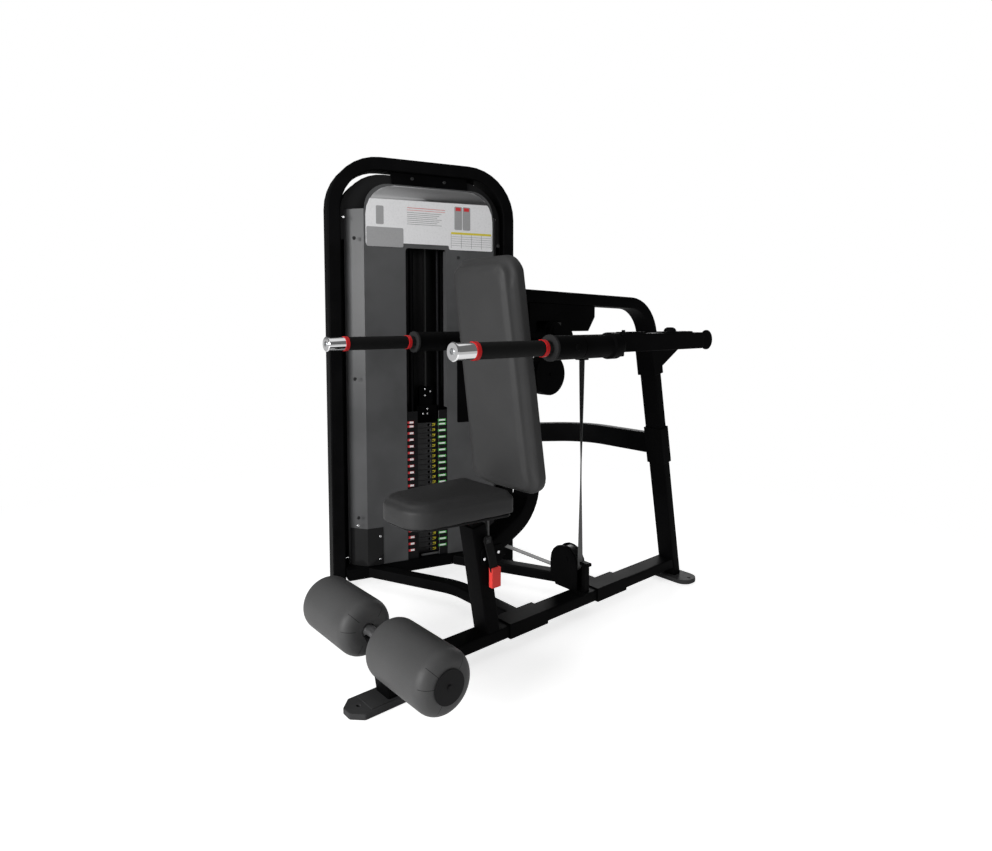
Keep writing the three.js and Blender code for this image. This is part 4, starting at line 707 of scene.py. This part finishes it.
bpy.ops.object.select_all(action="DESELECT")
bpy.ops.mesh.primitive_cylinder_add(
    vertices=72, radius=ROLLER_RADIUS, depth=ROLLER_OUTER - ROLLER_INNER, end_fill_type="NGON"
)
roller = bpy.context.object
bpy.ops.object.mode_set(mode="EDIT")
pick(roller, "faces", lambda face: abs(face.normal.z) > 0.9)
bpy.ops.mesh.inset(thickness=ROLLER_RADIUS - ROLLER_BORE)
bpy.ops.mesh.bridge_edge_loops()
pick(roller, "edges", roller_rim)
bpy.ops.mesh.bevel(offset=ROLLER_ROUND, segments=8, affect="EDGES")
outward(roller)
swell(roller, ROLLER_SWELL, lambda place: math.hypot(place.x, place.y) < ROLLER_BORE * 1.3)
lay_down = Matrix.Rotation(math.radians(90), 4, "Y")
rollers = {"left": roller, "right": roller.copy()}
rollers["right"].data = roller.data.copy()
bpy.context.scene.collection.objects.link(rollers["right"])
for side, piece in rollers.items():
    across = (ROLLER_INNER + ROLLER_OUTER) / 2 * (1 if side == "left" else -1)
    place = Matrix.Translation((across, 0, AXLE_UP)) @ lay_down
    settle(piece, f"roller_cover_{side}", roller_vinyl, f"{side}_roller", place)
    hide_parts(f"foam_roller_{side}")

# %% [markdown]
# ## Placing things on the tower
# The tower stands turned by fifteen degrees. Small pieces on its front are
# drawn flat, with X to the side and Y up, and this matrix stands them on
# it: u runs along the front, z upwards, and n out of it.

# %% The tower's own axes
TOWER_TURN = math.radians(-15.49)
TOWER_PLACE = Vector((-0.6465, 0.5984, 0.0))
tower_out = Vector((math.cos(TOWER_TURN), math.sin(TOWER_TURN), 0))
tower_side = Vector((-math.sin(TOWER_TURN), math.cos(TOWER_TURN), 0))
tower_stand = Matrix((tower_side, Vector((0, 0, 1)), tower_out)).transposed().to_4x4()
tower_stand.translation = TOWER_PLACE


def on_tower(out):
    """The place of a flat drawing that lies out millimetres in front."""
    return tower_stand @ Matrix.Translation((0, 0, out / 1000))


# %% [markdown]
# ## Printed plates
# Labels, scales and the placard's picture are thin prints. Each is a
# plane cut to size, with its corners rounded by Bevel, and pushed out by
# the thickness of the print. A print of many patches is one piece.

# %% Prints made of patches


def add_patch(sheet, patch, round_by):
    left, low, right, high = (side / 1000 for side in patch)
    centre = ((left + right) / 2, (low + high) / 2, 0)
    bpy.ops.mesh.select_all(action="DESELECT")
    bpy.ops.mesh.primitive_plane_add(size=1, location=centre)
    bpy.ops.transform.resize(value=(right - left, high - low, 1), center_override=centre)
    if round_by:
        bpy.ops.mesh.bevel(offset=round_by / 1000, segments=3, affect="VERTICES")


def prints(name, patches, out, finish, thick=0.4, round_by=0.0, body="frame"):
    """Patches are left, low, right and high, in millimetres on the tower."""
    bpy.ops.object.select_all(action="DESELECT")
    blank = bpy.data.meshes.new(name)
    sheet = bpy.data.objects.new(name, blank)
    bpy.context.scene.collection.objects.link(sheet)
    only(sheet)
    bpy.ops.object.mode_set(mode="EDIT")
    for patch in patches:
        add_patch(sheet, patch, round_by)
    bpy.ops.mesh.select_all(action="SELECT")
    push(thick / 1000)
    outward(sheet)
    return settle(sheet, name, finish, body, on_tower(out))


def printed(name, colour, roughness=0.42):
    """Ink on film: even colour with a faint unevenness of the ink."""
    ink = Finish(name, colour, roughness)
    spots = ink.noise(160.0, 2.0)
    denser = [level * 0.85 for level in colour]
    ink.put("Base Color", ink.blend(spots.steps(0.4, 0.8) * 0.5, colour, denser))
    ink.put("Roughness", spots * 0.1 + (roughness - 0.05))
    return ink.material


white_print = printed("white_print", (0.85, 0.85, 0.86))
pale_print = printed("pale_grey_print", (0.36, 0.36, 0.365))
grey_print = printed("grey_print", (0.16, 0.16, 0.165))
# Near-black for the dark holes in the sheet: painted shade.
painted_hole_shade = printed("painted_hole_shade", (0.012, 0.012, 0.013))
red_print = printed("red_print", (0.66, 0.03, 0.035))
green_print = printed("green_print", (0.09, 0.55, 0.10))
yellow_print = printed("yellow_print", (0.72, 0.62, 0.05))
print("prints ready")

# %% [markdown]
# ## Weight labels
# Two strips of labels stand beside the stack, one label for each plate.
# The left ones are red with a white field, the right ones green. Both
# are left blank, because the numbers on them belong to a maker's scale.

# %% Label strips
LABELS = 21
LABEL_PITCH = 25.05
LABEL_HALF = 4.4
LEFT_MARGIN, RIGHT_MARGIN = 0.8, 1.7
FIRST_GAP = 15.0
TOP_LEFT, NEXT_LEFT = 614, 573
TOP_RIGHT, NEXT_RIGHT = 616, 576
CARRIER_OUT = 53.1
FIELD_OUT = CARRIER_OUT + 0.5


def label_rows(left, right, first, second, half):
    """The second label sits close below the first, the others at one pitch."""
    middles = [first, first - FIRST_GAP] + [second - LABEL_PITCH * k for k in range(LABELS - 2)]
    return [(left, middle - half, right, middle + half) for middle in middles]


red_backs = label_rows(-88, -63, TOP_LEFT, NEXT_LEFT, LABEL_HALF)
red_fields = label_rows(-79, -64.5, TOP_LEFT, NEXT_LEFT, LABEL_HALF - LEFT_MARGIN)
green_backs = label_rows(34.5, 66.5, TOP_RIGHT, NEXT_RIGHT, LABEL_HALF)
green_fields = label_rows(38.5, 62.5, TOP_RIGHT, NEXT_RIGHT, LABEL_HALF - RIGHT_MARGIN)
prints("label_backs_left", red_backs, CARRIER_OUT, red_print)
prints("label_fields_left", red_fields, FIELD_OUT, white_print)
prints("label_backs_right", green_backs, CARRIER_OUT, green_print)
prints("label_fields_right", green_fields, FIELD_OUT, white_print)

# %% [markdown]
# ## The placard
# On the real machine the placard shows how to use it. Here it keeps the
# layout alone: a grey head band, a block, a table with a yellow head row,
# two panels, and thin rules where lines of words would be.

# %% Placard print
INK_THICK = 0.4
RULE_THICK = 0.2
PRINT_GAP = 0.1
HEAD_LOW = 1.436
HEAD_LEFT = -0.2206
HEAD_RUN, HEAD_RISE = 0.4826, 0.007
FACING_OUT = 0.98
FLAT_WITHIN = 0.02

placard_points = [point.co for point in nodes["placard"].data.vertices]
placard_face = max((point - TOWER_PLACE).dot(tower_out) for point in placard_points) * 1000
PLACARD_OUT = placard_face + PRINT_GAP
print("placard face stands", placard_face, "mm out")
dress(nodes["placard"], white_print)


def head_band(low, thick):
    """The placard's own outline above a slanted line, as a thin layer."""
    band = nodes["placard"].copy()
    band.data = nodes["placard"].data.copy()
    band.modifiers.clear()
    band.parent = None
    for key in [key for key in band.keys() if key.startswith("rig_")]:
        del band[key]
    bpy.context.scene.collection.objects.link(band)
    only(band)
    bpy.ops.object.mode_set(mode="EDIT")
    bpy.ops.mesh.select_all(action="SELECT")
    bpy.ops.mesh.remove_doubles(threshold=0.00002)
    pick(band, "faces", lambda face: face.normal.dot(tower_out) < FACING_OUT)
    bpy.ops.mesh.delete(type="FACE")
    bpy.ops.mesh.select_all(action="SELECT")
    bpy.ops.mesh.dissolve_limited(angle_limit=FLAT_WITHIN)
    bpy.ops.mesh.select_all(action="SELECT")
    slope = (tower_side * HEAD_RUN + Vector((0, 0, HEAD_RISE))).cross(tower_out)
    start = TOWER_PLACE + tower_side * HEAD_LEFT + Vector((0, 0, low))
    bpy.ops.mesh.bisect(plane_co=start, plane_no=slope, clear_inner=slope.z > 0, clear_outer=slope.z < 0)
    bpy.ops.mesh.select_all(action="SELECT")
    push(thick, tower_out)
    outward(band)
    bpy.ops.object.shade_flat()
    return settle(band, "placard_head", pale_print, "frame")


head_band(HEAD_LOW, INK_THICK / 1000)
TEXT_LEFT, TEXT_RIGHT, TEXT_TOP = -83, 52, 1394
TEXT_PITCH, TEXT_THICK, TEXT_RAGGED = 7, 1.4, 9
NOTE_LEFTS, NOTE_WIDTH = (112, 146), 16
NOTE_LOW, NOTE_PITCH, NOTE_THICK = 1348, 6, 1.2
TABLE_LEFT, TABLE_RIGHT, TABLE_LOW, TABLE_TOP = 90, 258, 1273, 1325
ROW_TOP, ROW_PITCH, ROW_THICK, ROW_INSET = 1316, 8.4, 0.9, 2
COLUMN_PITCH, COLUMN_THICK = 42, 1
TABLE_HEAD = 8


def text_rule(k):
    low = TEXT_TOP - TEXT_PITCH * k
    return (TEXT_LEFT, low, TEXT_RIGHT - TEXT_RAGGED * (k % 3), low + TEXT_THICK)


def note_rule(left, k):
    low = NOTE_LOW + NOTE_PITCH * k
    return (left, low, left + NOTE_WIDTH, low + NOTE_THICK)


def table_row(k):
    low = ROW_TOP - ROW_PITCH * k
    return (TABLE_LEFT + ROW_INSET, low, TABLE_RIGHT - ROW_INSET, low + ROW_THICK)


def table_column(k):
    left = TABLE_LEFT + COLUMN_PITCH * k
    return (left, TABLE_LOW, left + COLUMN_THICK, TABLE_TOP)


rules = [text_rule(k) for k in range(7)]
rules += [note_rule(left, k) for left in NOTE_LEFTS for k in range(4)]
rules += [table_row(k) for k in range(5)] + [table_column(k) for k in range(5)]
blocks = [(-236, 1266, -98, 1336)]
panels = [(104, 1342, 135, 1429), (138, 1342, 169, 1429), (-200, 1346, -172, 1412)]
marks = [(-83, 1411, 66, 1412.6), (-83, 1403, 66, 1404.2)]
marks += [(109, 1413, 130, 1426), (143, 1413, 164, 1426)]
table_head = [(TABLE_LEFT, TABLE_TOP, TABLE_RIGHT, TABLE_TOP + TABLE_HEAD)]
prints("placard_rules", rules, PLACARD_OUT, grey_print, thick=RULE_THICK)
prints("placard_blocks", blocks, PLACARD_OUT, pale_print, round_by=5)
prints("placard_panels", panels, PLACARD_OUT, pale_print, round_by=4)
prints("placard_marks", marks, PLACARD_OUT + INK_THICK, red_print, thick=RULE_THICK)
prints("placard_table_head", table_head, PLACARD_OUT, yellow_print, thick=RULE_THICK)

# %% [markdown]
# ## Marks on the plates, label edges and painted shade
# Every weight plate carries a small yellow mark that lines up with its
# label. The strips of labels have pale edges. Beside the window, a
# near-black sheet is painted shade where the front looks dark.

# %% Plate marks, label edges and painted shade
PLATE_PITCH = 20.5
STACK_LOW = 92.0
PLATES = 25
LIFTED_PLATES = 17
SPLIT_AT = PLATES - LIFTED_PLATES
PLATE_FRONT = 16.2
MARK_STROKES = [(24, 1, 37, 4.5), (31, -5, 35.5, 1), (22, -5.5, 30, -3.5)]
ARC_STROKES = [(14.5, -5, 17, 5)]
CARRIER_EDGES = [(-101.5, 90, -99.8, 652), (37, 90, 38, 652), (84.4, 90, 85.4, 652)]
# Painted shade beside the window: a near-black sheet, in millimetres on the tower.
PAINTED_SHADE_BESIDE_WINDOW = [(113, 602, 190, 880)]
PAINTED_SHADE_OUT = 56.2


def plate_prints(strokes, first, last):
    """The same strokes on each plate from the first up to the last."""
    patches = []
    for plate in range(first, last):
        middle = STACK_LOW + PLATE_PITCH * (plate + 0.5)
        patches += [(left, middle + low, right, middle + high) for left, low, right, high in strokes]
    return patches


for kind, strokes, ink in (("marks", MARK_STROKES, yellow_print), ("arcs", ARC_STROKES, grey_print)):
    lower = plate_prints(strokes, 0, SPLIT_AT)
    lifted = plate_prints(strokes, SPLIT_AT, PLATES)
    prints(f"plate_{kind}_lower", lower, PLATE_FRONT, ink)
    prints(f"plate_{kind}_lifted", lifted, PLATE_FRONT, ink, body="lifted_stack")
prints("carrier_edges", CARRIER_EDGES, CARRIER_OUT, grey_print)
# Painted shade: a near-black sheet where the front beside the window looks dark.
prints("painted_shade_beside_window", PAINTED_SHADE_BESIDE_WINDOW, PAINTED_SHADE_OUT, deep_black_coat, thick=0.8, round_by=5)

# %% [markdown]
# ## Button-head screws
# The sheet, the frame and the guards are held by chromed button heads with
# a hexagon socket. One head is made: a disc whose rim is rounded by Bevel
# and whose top is inset and pushed in. Then it is copied to each place.
# Where the sheet and head plate show dark holes, near-black heads stand in
# for them: their colour is painted shade of the holes.

# %% Screw heads
SOCKET_SHARE = 0.5


def button_head(radius, height, sides=20):
    bpy.ops.object.select_all(action="DESELECT")
    bpy.ops.mesh.primitive_cylinder_add(vertices=sides, radius=radius, depth=height)
    head = bpy.context.object
    bpy.ops.object.mode_set(mode="EDIT")
    pick(head, "edges", lambda edge: all(point.co.z > 0 for point in edge.verts))
    bpy.ops.mesh.bevel(offset=height * 0.6, segments=3, affect="EDGES")
    pick(head, "faces", lambda face: face.normal.z > 0.99)
    bpy.ops.mesh.inset(thickness=radius * (1 - SOCKET_SHARE) * 0.5)
    push(-height * 0.55)
    outward(head)
    bpy.ops.object.shade_smooth_by_angle(angle=SMOOTH_BELOW)
    return head


def screws(name, head, spots, finish, body="frame"):
    """Copies of a head, each at a point and along a direction, as one piece."""
    copies = []
    for point, direction in spots:
        copy = head.copy()
        copy.data = head.data.copy()
        bpy.context.scene.collection.objects.link(copy)
        turn = Vector(direction).to_track_quat("Z", "Y").to_matrix().to_4x4()
        copy.matrix_world = Matrix.Translation(point) @ turn
        copies.append(copy)
    bpy.ops.object.select_all(action="DESELECT")
    for copy in copies:
        copy.select_set(True)
    bpy.context.view_layer.objects.active = copies[0]
    bpy.ops.object.join()
    return settle(copies[0], name, finish, body)


def tower_point(out, side, up):
    return TOWER_PLACE + (tower_out * out + tower_side * side + Vector((0, 0, up))) / 1000


SHEET_SCREWS = [(-272, 61), (1, 66), (-279, 247), (-197, 195), (-198, 108), (289, 57), (229, 42)]
# Dark holes in the sheet and head plate, where near-black heads give painted shade.
SHEET_HOLES = [(-280, 1291), (289, 1290), (119, 1237), (-284, 787), (-278, 275)]
HEAD_HOLES = [(-48, 1527), (80, 1524)]
FRAME_SCREWS = [(-312, 1366), (298, 1292), (298, 49), (-268, 53)]
SHEET_OUT, HOLE_SHADE_OUT, FRAME_OUT, HEAD_OUT = 57.2, 57.0, 38.4, 17.0


def tower_spots(places, out):
    return [(tower_point(out, side, up), tower_out) for side, up in places]


sheet_head = button_head(radius=0.0048, height=0.0034)
screws("sheet_screws", sheet_head, tower_spots(SHEET_SCREWS, SHEET_OUT), chrome)
screws("frame_screws", sheet_head, tower_spots(FRAME_SCREWS, FRAME_OUT), chrome)
# Near-black heads at the dark holes: their colour is painted shade of the holes.
hole_shade_head = button_head(radius=0.0066, height=0.0024)
hole_spots = tower_spots(SHEET_HOLES, HOLE_SHADE_OUT) + tower_spots(HEAD_HOLES, HEAD_OUT)
screws("hole_shade_heads", hole_shade_head, hole_spots, painted_hole_shade)
bpy.data.objects.remove(sheet_head)
bpy.data.objects.remove(hole_shade_head)

# %% [markdown]
# ## Small screws
# The chromed ends of the handles carry a small socket screw, and so do
# the clamp on the stack's head and the plate at the foot of the back tube.

# %% Small screws
HANDLE_ACROSS, HANDLE_UP, HANDLE_END = 0.302, 0.930, 0.0165
CLAMP_BOLTS, CLAMP_OUT = [(6, 731), (6, 706), (28, 721)], -13.4
NECK_BOLTS, NECK_OUT = [(12, 654), (-6, 636), (12, 636)], -2.4
PLATE_BOLTS = [(0.0427, 0.325, 0.317), (0.0427, 0.378, 0.326)]

end_head = button_head(radius=0.0085, height=0.0022, sides=28)
end_spots = [((side * HANDLE_ACROSS, HANDLE_END, HANDLE_UP), (0, -1, 0)) for side in (1, -1)]
screws("handle_end_screws", end_head, end_spots, zinc, "press_arms")
clamp_head = button_head(radius=0.0042, height=0.0034)
clamp_spots = tower_spots(CLAMP_BOLTS, CLAMP_OUT) + tower_spots(NECK_BOLTS, NECK_OUT)
screws("clamp_screws", clamp_head, clamp_spots, chrome, "lifted_stack")
plate_head = button_head(radius=0.0046, height=0.0009)
plate_spots = [(spot, (1, 0, 0)) for spot in PLATE_BOLTS]
screws("plate_screws", plate_head, plate_spots, chrome)
for head in (end_head, clamp_head, plate_head):
    bpy.data.objects.remove(head)

# %% [markdown]
# ## The window's folded edges
# The sheet is folded inwards along both sides of the window, which gives
# the opening its depth. Each fold is a plane as thin as the sheet, pushed
# out by the fold's depth, with its edges rounded by Bevel.

# %% Window folds
FOLD_DEPTH = 0.0345
FOLD_THICK = 0.0015
FOLD_ROUND = 0.0004
FOLD_FROM = 18.2
FOLD_LOW, FOLD_HIGH = 0.664, 1.262
FOLD_RIGHT, FOLD_LEFT = 0.0731, -0.0911


def window_fold(name, side):
    bpy.ops.object.select_all(action="DESELECT")
    centre = (side, (FOLD_LOW + FOLD_HIGH) / 2, 0)
    bpy.ops.mesh.primitive_plane_add(size=1, location=(0, 0, 0))
    fold = bpy.context.object
    bpy.ops.object.mode_set(mode="EDIT")
    bpy.ops.transform.resize(value=(FOLD_THICK, FOLD_HIGH - FOLD_LOW, 1), center_override=(0, 0, 0))
    bpy.ops.mesh.select_all(action="SELECT")
    push(FOLD_DEPTH)
    bpy.ops.mesh.bevel(offset=FOLD_ROUND, segments=2, affect="EDGES")
    bpy.ops.mesh.select_all(action="SELECT")
    bpy.ops.transform.translate(value=centre)
    outward(fold)
    return settle(fold, name, grey_sheet, "frame", on_tower(FOLD_FROM))


window_fold("window_fold_right", FOLD_RIGHT)
window_fold("window_fold_left", FOLD_LEFT)

# %% [markdown]
# ## Floor, backdrop and lamps
# The photograph has a white studio floor that keeps a soft grey shadow. The
# floor here is lit as any surface, and for the camera alone a glow is
# added that lifts it to white, so no lamp has to burn the object out.

# %% Studio
FLOOR_SIZE = 60.0
FLOOR_LOW = -0.0005
FADE_FROM, FADE_TO = 1.7, 2.9
AMBIENT = 0.14


def studio_white(name, lit, glow, mirrored):
    """Shaded by the lamps, lifted to white for the camera, less so in mirrors."""
    stage = Finish(name, (lit, lit, lit), 1.0)
    rays = stage.node("ShaderNodeLightPath").socket.node.outputs
    seen = Value(stage, rays["Is Camera Ray"]) + Value(stage, rays["Is Glossy Ray"]) * mirrored
    glowing = stage.node("ShaderNodeEmission", sockets={"Color": (1, 1, 1, 1), "Strength": seen * glow})
    lamplit = Value(stage, stage.shader.outputs[0])
    both = stage.node("ShaderNodeAddShader", sockets={0: lamplit, 1: glowing})
    blank = stage.node("ShaderNodeEmission", sockets={"Color": (1, 1, 1, 1), "Strength": seen})
    away = stage.node("ShaderNodeVectorMath", {"operation": "LENGTH"}, {0: stage.place()}, output=1)
    faded = away.steps(FADE_FROM, FADE_TO)
    surface = stage.node("ShaderNodeMixShader", sockets={0: faded, 1: both, 2: blank})
    output = stage.tree.nodes["Material Output"]
    stage.tree.links.new(surface.socket, output.inputs["Surface"])
    return stage.material


bpy.ops.mesh.primitive_plane_add(size=FLOOR_SIZE, location=(0, 0, FLOOR_LOW))
floor = bpy.context.object
floor.name = "studio_floor"
floor.data.materials.append(studio_white("studio_floor_white", lit=0.8, glow=0.7, mirrored=0.5))

world = bpy.data.worlds.new("studio_world")
bpy.context.scene.world = world
world.use_nodes = True
sky = world.node_tree
background = sky.nodes["Background"]
background.inputs["Color"].default_value = (1, 1, 1, 1)
ray = sky.nodes.new("ShaderNodeLightPath")
either = sky.nodes.new("ShaderNodeMath")
either.operation = "MAXIMUM"
sky.links.new(ray.outputs["Is Camera Ray"], either.inputs[0])
sky.links.new(ray.outputs["Is Transmission Ray"], either.inputs[1])
level = sky.nodes.new("ShaderNodeMapRange")
level.inputs["To Min"].default_value = AMBIENT
level.inputs["To Max"].default_value = 1.0
sky.links.new(either.outputs[0], level.inputs["Value"])
sky.links.new(level.outputs[0], background.inputs["Strength"])


def soft_lamp(name, place, target, size, power):
    lamp = bpy.data.lights.new(name, "AREA")
    lamp.shape = "RECTANGLE"
    lamp.size, lamp.size_y = size
    lamp.energy = power
    holder = bpy.data.objects.new(name, lamp)
    holder.location = place
    aim = Vector(target) - Vector(place)
    holder.rotation_euler = aim.to_track_quat("-Z", "Y").to_euler()
    bpy.context.scene.collection.objects.link(holder)


soft_lamp("key", (0.4, -3.4, 1.4), (-0.2, 0.4, 0.7), (2.2, 1.4), 140)
soft_lamp("top", (0.2, 0.4, 3.4), (-0.2, 0.5, 0.0), (3.2, 3.2), 20)
soft_lamp("side", (3.4, 0.4, 1.3), (-0.4, 0.5, 0.8), (1.6, 1.6), 9)
soft_lamp("rear", (-2.2, 3.6, 1.5), (-0.3, 0.6, 0.7), (2.2, 1.4), 45)
print("studio set")
